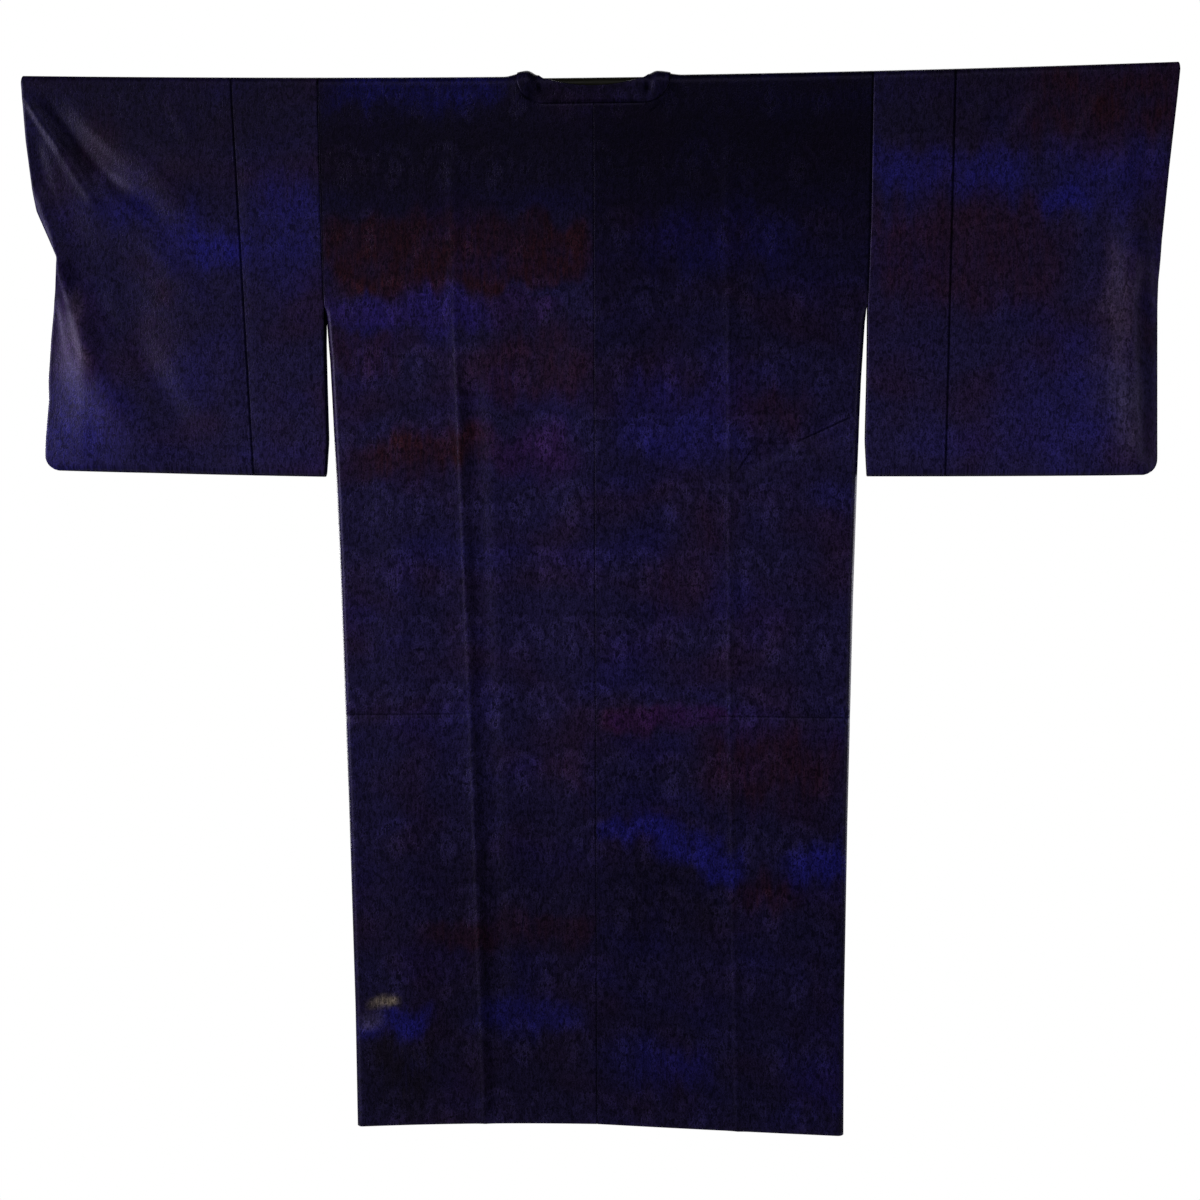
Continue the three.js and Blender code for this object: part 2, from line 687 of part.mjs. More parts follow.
// ---- The covered buttons ----
function button(name, drop) {
  const onCollar = drop < NECK_FRONT_DROP;
  const cover = onCollar ? COLLAR_CLOTH : CLOTH;
  const depth = atDrop(BODY_DEPTH, drop, 'y') + OVERLAP_LIFT + cover;
  const base = -depth + hangRelief(BUTTON_X, drop) - SEAM_GAP;
  const profile = [new THREE.Vector2(0, 0), new THREE.Vector2(BUTTON_RADIUS - 2, 0)];
  const steps = 4;
  for (let k = 0; k <= steps; k += 1) {
    const turn = Math.PI / 2 * k / steps;
    const rise = 1.5 + (BUTTON_DEPTH - 1.5) * Math.sin(turn);
    profile.push(new THREE.Vector2(BUTTON_RADIUS * Math.cos(turn), rise));
  }
  profile[profile.length - 1].x = 0;
  const mesh = new THREE.Mesh(new THREE.LatheGeometry(profile, 16), silk);
  mesh.rotation.x = Math.PI;
  mesh.position.set(BUTTON_X, base, rodRise(BUTTON_X) - drop);
  mesh.name = name;
  return mesh;
}

// ---- The coat on its rod ----
const SLEEVE_COLUMNS = {
  left: [0, 0.16, 0.36, 0.44, 0.5, 0.56, 0.64, 0.71, 0.78, 0.84, 0.89, 0.93, 0.97, 1],
  right: [0, 0.16, 0.36, 0.44, 0.5, 0.56, 0.66, 0.78, 0.86, 0.92, 0.96, 1],
};
const coat = new THREE.Group();
coat.add(hangingRod());
coat.add(bodyPanel(1, 'body_left'));
coat.add(bodyPanel(-1, 'body_right'));
coat.add(sleeve(1, 'sleeve_left', SLEEVE_COLUMNS.left));
coat.add(sleeve(-1, 'sleeve_right', SLEEVE_COLUMNS.right));
coat.add(overlapPanel(1, 'tateeri_left'));
coat.add(overlapPanel(-1, 'tateeri_right'));
coat.add(collar());
for (const [name, drop] of Object.entries(BUTTON_DROPS)) {
  coat.add(button(name, drop));
}

export default coat;
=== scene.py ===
"""Looks of a michiyuki coat that hangs flat on a straight rod.

The cloth is built in millimetres on the same hanging shape as the solids, each cut piece
as one thin shell, and is turned into metres when its mesh is made. +X is the wearer's
left, +Y the coat's back and +Z up. s is the cloth's length from the shoulder line, down
the back where it is positive, and drop is the height below the rod's axis.
"""
import math

import bpy
import numpy as np
from mathutils import Matrix, Vector


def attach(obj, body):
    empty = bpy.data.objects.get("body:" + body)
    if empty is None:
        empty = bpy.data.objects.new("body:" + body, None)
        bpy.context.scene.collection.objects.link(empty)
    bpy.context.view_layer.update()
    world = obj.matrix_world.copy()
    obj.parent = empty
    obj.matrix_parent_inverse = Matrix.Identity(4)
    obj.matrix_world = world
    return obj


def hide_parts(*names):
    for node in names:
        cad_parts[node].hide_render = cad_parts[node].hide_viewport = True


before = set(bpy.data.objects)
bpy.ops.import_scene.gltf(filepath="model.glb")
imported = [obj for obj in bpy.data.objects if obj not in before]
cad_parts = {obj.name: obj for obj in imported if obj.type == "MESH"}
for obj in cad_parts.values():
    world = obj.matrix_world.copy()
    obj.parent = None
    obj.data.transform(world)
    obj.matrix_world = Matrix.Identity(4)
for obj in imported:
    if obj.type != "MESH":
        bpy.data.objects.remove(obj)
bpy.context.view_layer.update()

# ---- Sizes, in millimetres ----
ROD_RADIUS = 9.0
ROD_ENDS = (-666.5, 671.5)
ROD_BOW = 8.0
ROD_TILT = 4.2
ROD_HALF = 670.0
CLOTH = 1.6
COLLAR_CLOTH = 3.0
REST_GAP = 0.4
SEAM_GAP = 0.3
SEAM_INSET = 0.45  # the edges' soft rims bulge out by a little more, and meet
SOFT_EDGE = 0.35  # how far a folded edge bulges, as a share of its thickness
COAT_DROP = 1199.0
STORED_FOLD = 727.0  # the fold across the back in which the coat was stored
HEM_HALF = 280.0
HEM_LEFT_DROP = 9.5  # how far the hem's corners hang below its middle
HEM_RIGHT_DROP = 10.3
FRONT_HEM_RISE = 3.0
UNDERARM = 253.0
SIDE_CLOSING = 28.0
SIDE_ROUND = 7.0
SLEEVE_DROP = 453.5
SLEEVE_SLANT = {1: -2.2, -1: 4.2}  # how much deeper a sleeve hangs at its cuff
SLEEVE_SLANT_FROM = 315.0
SLEEVE_SLANT_SPAN = 325.0
SLEEVE_CORNER = 17.0
SLEEVE_BOTTOM_ROUND = 6.0
CUFF_OPEN = 212.0
CUFF_CLOSING = 60.0
CUFF_CLOSING_SHARE = 0.9
COLLAR_BACK_SEAM = 22.0
COLLAR_BACK_WIDTH = 19.0
COLLAR_BACK_RISE = 7.5
COLLAR_FRONT_WIDTH = 36.0
COLLAR_CORNER = 30.0
NECK_BACK_HALF = 58.0
NECK_FRONT_HALF = 102.0
NECK_INNER_HALF = 66.0
NECK_SHOULDER_HALF = 64.0
NECK_INNER_SHARE = 0.92
NECK_STRAIGHT_DROP = 100.0
NECK_FRONT_DROP = 187.0
OVERLAP_LIFT = 4.6
OVERLAP_LEFT_EDGE = -100.0
OVERLAP_RIGHT_EDGE = 97.0
BUTTON_RADIUS = 11.0
BUTTON_DEPTH = 6.0
BUTTON_EDGE = 2.2  # height of its widest ring
BUTTON_X = -84.0
BUTTON_DROPS = {"button_upper": 169.0, "button_lower": 330.0}
BEARING = ROD_RADIUS + REST_GAP  # where the cloth bears on the rod
QUARTER = BEARING * math.pi / 2  # cloth from the shoulder line down to the rod's middle

# (drop, x or y), with 1 for the left side and -1 for the right
BODY_SIDE = {
    1: ((0, 321), (160, 318), (253, 314.5), (290, 311.7), (319, 309.3), (365, 306.9),
        (441, 303.2), (539, 299), (714, 293.1), (831, 288.9), (1064, 282.2), (1199, 280)),
    -1: ((0, 321), (160, 318), (253, 313.8), (275, 310.9), (344, 306.1), (441, 301.8),
         (592, 296.1), (847, 288.8), (1056, 284.2), (1199, 283)),
}
SLEEVE_INNER = {
    1: ((0, 321), (160, 318), (253, 314.5), (300, 315), (342, 314.1), (412, 312.2), (450, 314.6)),
    -1: ((0, 321), (160, 318), (253, 313.8), (298, 313.4), (344, 312.5), (413, 310.5),
         (450, 312.2)),
}
CUFF_EDGE = {
    1: ((0, 671.5), (68, 666), (125, 658.5), (150, 653.5), (172, 643.5), (205, 627.5), (222, 629),
        (254, 635), (300, 639.5), (347, 642), (371, 641.3), (418, 645.5), (454, 647)),
    -1: ((0, 666), (29, 662.9), (111, 653.2), (192, 644.7), (235, 641.5), (454, 640.6)),
}
BODY_DEPTH = ((0, BEARING), (40, BEARING), (320, 8.8), (1199, 8))
SLEEVE_DEPTH = ((0, BEARING), (40, BEARING), (253, 9), (400, 8.4), (450, 7))
BODY_CREASE = {1: ((0, 162), (281, 161), (709, 145), (1199, 129)),
               -1: ((0, 156), (709, 155), (1199, 162))}
SLEEVE_CREASE = {1: ((0, 424), (450, 399.5)), -1: ((0, 413), (450, 400))}
# Cross sections of the creases down the panels: (rise, half width). Each is a broad swell
# or hollow with a sharp rib on it, and the body loses its rib towards the shoulder.
BODY_SWELL, BODY_RIB = (1.0, 14), (0.75, 4.5)
SLEEVE_HOLLOW, SLEEVE_RIB = (-0.7, 12), (0.3, 2.6)
# The stored fold is pressed sharp between two places on each side.
FOLD_PRESS = (-0.9, 3.2)
FOLD_FROM, FOLD_FROM_FADE = 134, 14
FOLD_TO, FOLD_TO_FADE = 298, 20
# Below the rod the folds grow over a drop: (from, over).
FOLDS_START, WRINKLES_START, BODY_RIB_START = (20, 90), (6, 34), (180, 150)

# The hang's folds, as straight ridges (rise > 0, towards the back) and troughs:
# (x0, drop0, x1, drop1, rise, spread)
FOLDS = (
    (157, STORED_FOLD, 300, STORED_FOLD, -1.8, 12),
    (-137, STORED_FOLD, -300, STORED_FOLD, -1.8, 12),
    (-298, 385, -165, 446, -4, 26),  # underarm wrinkle
    (664, 4, 617, 78, 4, 16),  # ridges and hollows at the left cuff
    (650, 12, 558, 122, -5, 26), (618, 6, 470, 135, 6, 42), (640, 95, 592, 200, -4, 26),
    (648, 130, 629, 194, 4, 13), (629, 194, 612, 272, 6, 20), (612, 272, 590, 330, 5, 24),
    (560, 215, 520, 330, -4, 60), (600, 360, 540, 430, 4, 50), (-600, 120, -590, 400, 3, 60),
    (70, 260, 66, 1150, -2.2, 60),  # broad hollows and swells of the body
    (-78, 200, -82, 1100, -2, 60), (225, 420, 215, 1150, 1.8, 50),
    (-225, 520, -228, 1150, 1.8, 50),
)
# Finer wrinkles that the solids leave out.
WRINKLES = (
    (171, STORED_FOLD, 149, 697, 0.9, 5),
    (-296, 388, -190, 446, 1.4, 9),  # lips of the underarm wrinkle
    (-300, 372, -215, 398, 0.8, 10),
    (672, 8, 622, 81, 4.0, 9),  # the left cuff: a thin ridge and the hollow beside it
    (622, 81, 583, 138, 3.0, 12), (652, 8, 576, 116, -3.0, 30), (576, 116, 500, 158, -2.4, 34),
    (655, 70, 634, 165, -2.0, 14), (640, 95, 592, 200, 2.8, 26),
    (633, 196, 614, 262, 1.6, 12),  # its rolled edge, which runs on to the bottom
    (591, 318, 536, 396, 6.5, 50), (536, 396, 500, 442, 6.0, 54), (634, 335, 640, 452, 3.0, 36),
    (590, 236, 562, 300, -2.4, 22), (548, 296, 484, 400, -3.0, 34),
    (140, 330, 112, 1060, -2.4, 20),  # beside the crease of the left back panel
    (520, 180, 452, 262, 1.2, 20), (-640, 60, -600, 150, -1.2, 18),
    (-604, 95, -611, 185, 3.5, 28),  # the soft ridge down the right cuff
    (-611, 185, -618, 450, 8.5, 28), (-575, 250, -548, 400, -1.0, 22),
    (-522, 8, -480, 70, 1.4, 12),  # short ripples under the rod
    (-455, 8, -440, 60, 1.0, 10), (-585, 10, -545, 95, 1.5, 14), (500, 8, 470, 66, 1.0, 12),
    (306, 300, 280, 352, 0.8, 9),
)
# Painted shade in thin dark lines along creases, seams, wrinkles and the hollows between folds:
# (x0, drop0, x1, drop1, strength, half width)
PAINTED_SHADE_LINES = (
    (424, -20, 397.5, 470, 0.9, 2.3),  # down the sleeves
    (-414.6, -20, -400.5, 470, 0.9, 2.3),
    (321, -20, 314.5, 253, 0.7, 2.4),  # the seams of the sleeves
    (-321, -20, -313.8, 253, 0.7, 2.4), (157, STORED_FOLD, 300, STORED_FOLD, 0.55, 2.1),
    (-137, STORED_FOLD, -300, STORED_FOLD, 0.5, 2.1),
    (-228, 415, -300, 383, 0.8, 2.1),  # the underarm wrinkle
    (-160, 452, -186, 414, 0.7, 2.1), (-186, 414, -228, 415, 0.4, 2.1),
    (650, 14, 582, 110, 0.45, 11),  # hollows between the folds of the left cuff
    (578, 114, 512, 154, 0.35, 14), (600, 268, 572, 318, 0.35, 11),
    (151, 340, 122, 1190, 0.3, 7),  # the shaded side of the left back crease
    (-58, 21, 58, 21, 0.4, 3.0),  # the collar's back seam
    (65, -6, 61, 17, 0.9, 5.0),  # the collar, pinched where it leaves the shoulders
    (-62, -6, -60, 17, 0.9, 5.0), (89, 8, 66, 24, 0.6, 2.6), (-61, 37, -78, 23, 0.6, 2.6),
)
CENTRE_SEAM_SHADE = (0, 22, 0, 1215, 0.4, 2.4)  # painted shade along the seam, on the back alone
# The rolls on the shoulders beside the collar: (x, rise, outward, inward, along).
ROLL = {1: (77, 5.2, 28, 12, 46), -1: (73, 3.4, 30, 9, 46)}


def smoothstep(t):
    c = np.clip(t, 0.0, 1.0)
    return c * c * (3.0 - 2.0 * c)


def mix(a, b, t):
    return a + (b - a) * t


def at(table, place):
    """Looks up a table of (place, value) rows."""
    return np.interp(place, [row[0] for row in table], [row[1] for row in table])


def spans(start, *parts):
    """Evenly spaced values from start through (end, number of steps) parts."""
    values = [np.array([float(start)])]
    for end, count in parts:
        values.append(np.linspace(values[-1][-1], end, count + 1)[1:])
    return np.concatenate(values)


def at_side(tables, x, place):
    """Looks up the left or the right table, by the sign of x."""
    return np.where(x >= 0, at(tables[1], place), at(tables[-1], place))


def rod_rise(x):
    t = x / ROD_HALF
    return ROD_BOW * t * t + ROD_TILT * t


def drop_of(s):
    return np.maximum(np.abs(s) - QUARTER, 0.0)


def fold_rise(fold, x, drop):
    """The rise of one straight fold at a place."""
    x0, drop0, x1, drop1, rise, spread = fold
    dx, dd = x1 - x0, drop1 - drop0
    length = math.hypot(dx, dd)
    along = ((x - x0) * dx + (drop - drop0) * dd) / length
    off = np.abs((x - x0) * dd - (drop - drop0) * dx) / length
    ends = smoothstep((along + spread) / (2 * spread)) \
        * smoothstep((length - along + spread) / (2 * spread))
    return rise * ends * smoothstep(1 - off / spread)


def line_crease(off, shape):
    rise, spread = shape
    return rise * smoothstep(1 - np.abs(off) / spread)


def grown(drop, start):
    return smoothstep((drop - start[0]) / start[1])


def hang_relief(x, drop):
    """How far both walls of the cloth stand towards the back at a place."""
    ax = np.abs(x)
    on_sleeve = ax > at_side(BODY_SIDE, x, drop)
    from_body = ax - at_side(BODY_CREASE, x, drop)
    from_sleeve = ax - at_side(SLEEVE_CREASE, x, drop)
    total = np.where(on_sleeve, line_crease(from_sleeve, SLEEVE_HOLLOW),
                     line_crease(from_body, BODY_SWELL))
    total = total + np.where(on_sleeve, line_crease(from_sleeve, SLEEVE_RIB),
                             line_crease(from_body, BODY_RIB)
                             * grown(drop, BODY_RIB_START))
    for fold in FOLDS:
        total = total + fold_rise(fold, x, drop)
    pressed = line_crease(drop - STORED_FOLD, FOLD_PRESS) \
        * smoothstep((ax - FOLD_FROM) / FOLD_FROM_FADE) \
        * smoothstep((FOLD_TO - ax) / FOLD_TO_FADE)
    fine = sum(fold_rise(fold, x, drop) for fold in WRINKLES) * grown(drop, WRINKLES_START)
    return (total + pressed) * grown(drop, FOLDS_START) + fine


def shoulder_roll(x, s):
    """How far the cloth stands off the rod beside the collar."""
    def one(middle, rise, outward, inward, along):
        off = np.abs(x) - middle
        t = np.where(off > 0, off / outward, -off / inward)
        return rise * smoothstep(1 - t) * smoothstep(1 - np.abs(s) / along)
    return np.where(x >= 0, one(*ROLL[1]), one(*ROLL[-1]))


def drape(x, s, out, depth_table):
    """A point of hanging cloth: (x, y, z)."""
    raised = out + shoulder_roll(x, s)
    on_rod = np.abs(s) <= QUARTER
    angle = s / BEARING
    reach = BEARING + raised
    drop = drop_of(s)
    front = np.where(s < 0, -1.0, 1.0)
    y = np.where(on_rod, reach * np.sin(angle),
                 front * (at(depth_table, drop) + raised) + hang_relief(x, drop))
    z = np.where(on_rod, reach * np.cos(angle), -drop) + rod_rise(x)
    return x, y, z


# ---- The neck cut ----
NECK_STRAIGHT = 9  # rows of the path along the straight back


def neck_path():
    """Sewn edge of one half of the neck from the centre back to the front, and the inner
    edge of the collar beside it: rows of (x, s, inner x, inner s)."""
    back = QUARTER + COLLAR_BACK_SEAM
    inner_back = back - COLLAR_BACK_WIDTH
    rows = []
    for x in np.linspace(0, NECK_BACK_HALF, NECK_STRAIGHT):
        rows.append((x, back, x * NECK_INNER_SHARE,
                     inner_back - COLLAR_BACK_RISE * (x / NECK_BACK_HALF) ** 2))
    for turn in np.radians(np.linspace(6, 90, 15)):
        rows.append((NECK_BACK_HALF + COLLAR_CORNER * math.sin(turn),
                     back - COLLAR_CORNER * (1 - math.cos(turn)),
                     mix(NECK_BACK_HALF * NECK_INNER_SHARE, NECK_SHOULDER_HALF, math.sin(turn)),
                     (inner_back - COLLAR_BACK_RISE) * math.cos(turn)))
    shoulder = NECK_BACK_HALF + COLLAR_CORNER
    corner = back - COLLAR_CORNER
    low = -(QUARTER + NECK_STRAIGHT_DROP)
    for s in spans(corner, (-QUARTER, 12), (low, 16))[1:]:
        t = float(smoothstep((corner - s) / (corner - low)))
        rows.append((mix(shoulder, NECK_FRONT_HALF, t), s,
                     mix(NECK_SHOULDER_HALF, NECK_INNER_HALF, t), s - corner * (1 - t)))
    bar_bottom = -(QUARTER + NECK_FRONT_DROP)
    bar_top = bar_bottom + COLLAR_FRONT_WIDTH
    for s in spans(low, (bar_bottom, 14))[1:]:
        t = (s - low) / (bar_bottom - low)
        rows.append((NECK_FRONT_HALF, s, NECK_INNER_HALF, mix(low, bar_top, t)))
    return np.array(rows)


NECK = neck_path()


def neck_edge(s):
    """Half width of the neck at a place along the body's cloth."""
    path = NECK[NECK_STRAIGHT - 1:][::-1]
    return np.interp(s, path[:, 1], path[:, 0])


def front_lift(s):
    """How far the left front stands off, to lie over the right one."""
    return np.where(s > 0, 0.0, OVERLAP_LIFT * smoothstep((drop_of(s) - 15) / 110))


def hem_share(x, drop):
    t = np.abs(x) / HEM_HALF
    corner = np.where(x >= 0, HEM_LEFT_DROP * t * t, HEM_RIGHT_DROP * t)
    return corner * (drop / COAT_DROP) ** 2


# ---- Surfaces ----
def body_surface(hand):
    def surface(u, s):
        drop = drop_of(s)
        neck = neck_edge(s)
        edge = at(BODY_SIDE[hand], drop) - mix(SEAM_INSET, CLOTH / 2,
                                               smoothstep((drop - (UNDERARM - 15)) / 15))
        inner = edge - SIDE_ROUND
        crease = at(BODY_CREASE[hand], drop)
        turn = math.pi / 2 * np.clip(u - 2, 0, 1)
        x = np.where(u <= 1, mix(SEAM_INSET, neck, u),
                     np.where(u <= 1.5, mix(neck, crease, (u - 1) * 2),
                              np.where(u <= 2, mix(crease, inner, (u - 1.5) * 2),
                                       mix(inner, edge, u - 2))))
        closing = np.where(u > 2, smoothstep((drop - UNDERARM) / SIDE_CLOSING), 0.0)
        x = mix(x, inner + SIDE_ROUND * np.sin(turn), closing)
        lift = front_lift(s) if hand > 0 else 0.0
        _, y, z = drape(hand * x, s, CLOTH / 2 + lift, BODY_DEPTH)
        seam = hang_relief(hand * x, drop) + np.sign(s) * SEAM_GAP / 2
        if hand > 0:
            seam = seam - OVERLAP_LIFT / 2
        y = mix(y, mix(seam, y, np.cos(turn)), closing)
        return hand * x, y, z - hem_share(hand * x, drop)
    return surface


SLEEVE_LENGTH = QUARTER + SLEEVE_DROP - SLEEVE_BOTTOM_ROUND


def sleeve_x(hand, f, drop):
    inner = at(SLEEVE_INNER[hand], drop) + SEAM_INSET
    crease = at(SLEEVE_CREASE[hand], drop)
    over = np.clip(drop - (SLEEVE_DROP - SLEEVE_CORNER), 0, SLEEVE_CORNER)
    inset = SLEEVE_CORNER - np.sqrt(SLEEVE_CORNER ** 2 - over ** 2)
    cuff = at(CUFF_EDGE[hand], drop) - inset
    return np.where(f <= 0.5, mix(inner, crease, f * 2), mix(crease, cuff, f * 2 - 1))


def sleeve_surface(hand):
    def surface(f, place):
        share = np.maximum(
            0.0, (np.minimum(np.abs(place), SLEEVE_LENGTH) - QUARTER) / (SLEEVE_LENGTH - QUARTER))
        shut = smoothstep((share * SLEEVE_DROP - CUFF_OPEN) / CUFF_CLOSING) \
            * smoothstep((f - CUFF_CLOSING_SHARE) / (1 - CUFF_CLOSING_SHARE))
        flat = (CLOTH + SEAM_GAP) / 2
        bottom = mix(SLEEVE_BOTTOM_ROUND, flat, shut)
        wall = SLEEVE_DROP - bottom
        below = place > SLEEVE_LENGTH
        turn = np.where(below, math.pi * (place - SLEEVE_LENGTH) / 2, 0.0)
        drop = np.where(below, wall + bottom * np.sin(turn), wall * share)
        x = hand * sleeve_x(hand, f, drop)
        depth = mix(at(SLEEVE_DEPTH, drop) + CLOTH / 2, flat, shut)
        face = np.where(below, np.cos(turn), np.sign(place))
        y = face * depth + hang_relief(x, drop)
        outward = (np.abs(x) - SLEEVE_SLANT_FROM) / SLEEVE_SLANT_SPAN
        z = rod_rise(x) - drop * (1 + SLEEVE_SLANT[hand] * outward / SLEEVE_DROP)
        on_rod = np.abs(place) <= QUARTER
        _, rod_y, rod_z = drape(x, place, CLOTH / 2, SLEEVE_DEPTH)
        return x, np.where(on_rod, rod_y, y), np.where(on_rod, rod_z, z)
    return surface


def overlap_surface(hand):
    seam = hand * (NECK_FRONT_HALF - 0.1)
    free = OVERLAP_LEFT_EDGE if hand > 0 else OVERLAP_RIGHT_EDGE
    lift = OVERLAP_LIFT if hand > 0 else 0.0

    def surface(u, s):
        x, y, z = drape(mix(seam, free, u), s, CLOTH / 2 + lift, BODY_DEPTH)
        return x, y, z - hem_share(x, drop_of(s))
    return surface


def collar_rows():
    """Rows of (x, s, inner x, inner s, lift) from the left bar round the neck to the right."""
    def half(hand):
        lift = front_lift(NECK[:, 1]) if hand > 0 else np.zeros(len(NECK))
        return np.column_stack((hand * NECK[:, 0], NECK[:, 1], hand * NECK[:, 2], NECK[:, 3], lift))

    def bar(hand, free):
        x = np.linspace(hand * NECK_INNER_HALF, free, 34)[1:]
        s = -(QUARTER + NECK_FRONT_DROP)
        lift = OVERLAP_LIFT if hand > 0 else 0.0
        return np.column_stack((x, np.full_like(x, s), x,
                                np.full_like(x, s + COLLAR_FRONT_WIDTH), np.full_like(x, lift)))
    return np.vstack((bar(1, OVERLAP_LEFT_EDGE)[::-1], half(1)[::-1], half(-1)[1:],
                      bar(-1, OVERLAP_RIGHT_EDGE)))


def collar_place(rows):
    """The collar's place along the cloth, which its figure and dye follow."""
    index = np.arange(len(rows))
    return lambda u, v: mix(np.interp(v, index, rows[:, 1]), np.interp(v, index, rows[:, 3]), u)


def collar_surface(rows):
    index = np.arange(len(rows))

    def surface(u, v):
        x0, s0, x1, s1, lift = (np.interp(v, index, rows[:, k]) for k in range(5))
        x = mix(x0, x1, u)
        s = mix(s0, s1, u)
        return drape(x, s, COLLAR_CLOTH / 2 + lift, BODY_DEPTH)
    return surface


# ---- Dye, and painted light and shade, by place on the cloth ----
# Hazy patches of dye, and of painted shade and highlight, on each piece's back (1) and front (-1):
# (kind, x from, x to, drop from, drop to, softness, strength). x runs outwards from the middle of
# the back, and on the overlap panels towards the left. The broad dark bands across the tops of the
# pieces, under the rod, are painted shade, and the faint cream along the ridges of the cuffs is a
# painted highlight.
PATCHES = {
    ("body_left", 1): (
        ("blue", 100, 308, -20, 26, 40, 0.8), ("blue", 121, 226, -20, 24, 26, 0.45),
        # the broad dark band across the top is painted shade under the rod
        ("dark_dye_and_shade", 4, 320, 34, 132, 60, 0.5), ("red", 4, 322, 150, 236, 26, 0.72),
        ("red", 144, 296, 178, 236, 30, 0.4), ("red", 4, 63, 155, 203, 24, 0.6),
        ("violet", 39, 308, 240, 276, 24, 0.35), ("blue", 120, 310, 236, 280, 26, 0.35),
        ("red", 4, 133, 278, 363, 40, 0.5), ("red", 235, 306, 284, 339, 34, 0.5),
        ("red", 120, 270, 400, 446, 40, 0.8), ("violet", 30, 120, 398, 446, 40, 0.6),
        ("red", 4, 63, 766, 823, 40, 0.3), ("red", 4, 191, 962, 996, 30, 0.45),
        ("dark_dye_and_shade", 4, 200, 850, 1200, 90, 0.35), ("blue", 24, 140, 1058, 1096, 34, 0.5),
        ("blue", 200, 274, 1066, 1096, 24, 0.9), ("cream_dye_and_sheen", 231, 263, 1052, 1062, 10, 0.9),
        ("cream_dye_and_sheen", 246, 270, 1068, 1086, 16, 0.25), ("dark_dye_and_shade", 185, 275, 1100, 1190, 36, 0.85),
    ),
    ("body_right", 1): (
        # the broad dark band across the top is painted shade under the rod
        ("dark_dye_and_shade", 4, 320, 34, 130, 80, 0.4), ("blue", 52, 235, 149, 213, 50, 0.38),
        ("blue", 28, 167, 339, 432, 50, 0.3), ("red", 161, 235, 355, 399, 40, 0.4),
        ("red", 105, 155, 478, 546, 50, 0.4), ("red", 52, 144, 560, 606, 50, 0.35),
        ("red", 10, 90, 713, 745, 18, 0.7), ("violet", 17, 155, 715, 745, 24, 0.7),
        ("red", 130, 285, 750, 830, 46, 0.55), ("blue", 5, 80, 846, 872, 20, 0.7),
        ("blue", 70, 135, 856, 896, 22, 0.9), ("blue", 120, 167, 876, 914, 20, 0.9),
        ("blue", 222, 288, 876, 916, 22, 0.8), ("red", 161, 235, 908, 944, 26, 0.6),
        ("dark_dye_and_shade", 17, 155, 896, 985, 36, 0.55), ("blue", 28, 121, 1102, 1152, 40, 0.45),
        ("blue", 213, 281, 1117, 1173, 40, 0.35),
    ),
    ("sleeve_left", 1): (
        ("blue", 400, 520, 150, 205, 50, 0.35), ("blue", 412, 474, 172, 204, 24, 0.75),
        ("blue", 316, 392, 116, 206, 50, 0.4), ("blue", 519, 578, 130, 168, 34, 0.45),
        ("red", 498, 514, 236, 256, 22, 0.5), ("red", 549, 598, 38, 88, 34, 0.3),
        # the broad dark band across the top is painted shade under the rod
        ("dark_dye_and_shade", 330, 660, -20, 100, 90, 0.4), ("blue", 556, 645, 345, 450, 70, 0.5),
        # the faint cream here is a painted highlight on the rolled edge of the cuff
        ("violet", 585, 640, 255, 335, 40, 0.6), ("cream_dye_and_sheen", 596, 615, 250, 320, 22, 0.11),
    ),
    ("sleeve_right", 1): (
        ("blue", 316, 402, 78, 124, 26, 0.5), ("blue", 410, 486, 84, 146, 30, 0.55),
        ("blue", 515, 642, 90, 150, 46, 0.4), ("blue", 506, 560, 128, 158, 22, 0.6),
        ("red", 490, 668, -10, 80, 60, 0.7), ("red", 316, 532, 140, 262, 44, 0.45),
        ("blue", 462, 600, 330, 443, 70, 0.18), ("violet", 572, 625, 190, 330, 40, 0.25),
        # the faint cream here is a painted highlight on the soft ridge down the cuff
        ("cream_dye_and_sheen", 578, 616, 200, 420, 60, 0.075), ("red", 626, 642, 280, 318, 20, 0.4),
        # the broad dark band across the top is painted shade under the rod
        ("dark_dye_and_shade", 316, 480, -20, 70, 50, 0.5),
    ),
    ("body_left", -1): (
        # the broad dark band across the top is painted shade under the rod
        ("dark_dye_and_shade", 4, 320, -20, 90, 60, 0.5), ("blue", 130, 300, 120, 170, 34, 0.7),
        ("red", 110, 250, 250, 330, 40, 0.5), ("violet", 180, 300, 470, 540, 36, 0.6),
        ("blue", 110, 230, 690, 740, 30, 0.8), ("red", 150, 300, 800, 870, 34, 0.6),
        ("blue", 105, 200, 1020, 1080, 34, 0.6),
    ),
    ("body_right", -1): (
        ("blue", 150, 310, -20, 40, 34, 0.5), ("red", 110, 300, 180, 250, 34, 0.6),
        ("violet", 110, 230, 420, 480, 34, 0.6), ("red", 200, 300, 560, 640, 40, 0.5),
        ("blue", 160, 290, 880, 930, 28, 0.9), ("dark_dye_and_shade", 110, 280, 1060, 1190, 60, 0.5),
    ),
    ("sleeve_left", -1): (
        ("blue", 340, 500, 90, 150, 34, 0.7), ("red", 480, 640, 230, 330, 50, 0.5),
    ),
    ("sleeve_right", -1): (
        ("blue", 420, 620, 160, 220, 34, 0.7), ("red", 330, 470, 300, 400, 50, 0.5),
    ),
    ("tateeri_left", -1): (
        ("violet", -100, 60, 430, 500, 36, 0.5), ("blue", -60, 100, 690, 735, 30, 0.8),
        ("red", -100, 20, 850, 930, 36, 0.6), ("red", 10, 100, 240, 310, 36, 0.5),
    ),
    ("tateeri_right", -1): (
        ("blue", -100, 100, 560, 620, 34, 0.6), ("red", -100, 100, 900, 980, 34, 0.5),
    ),
}
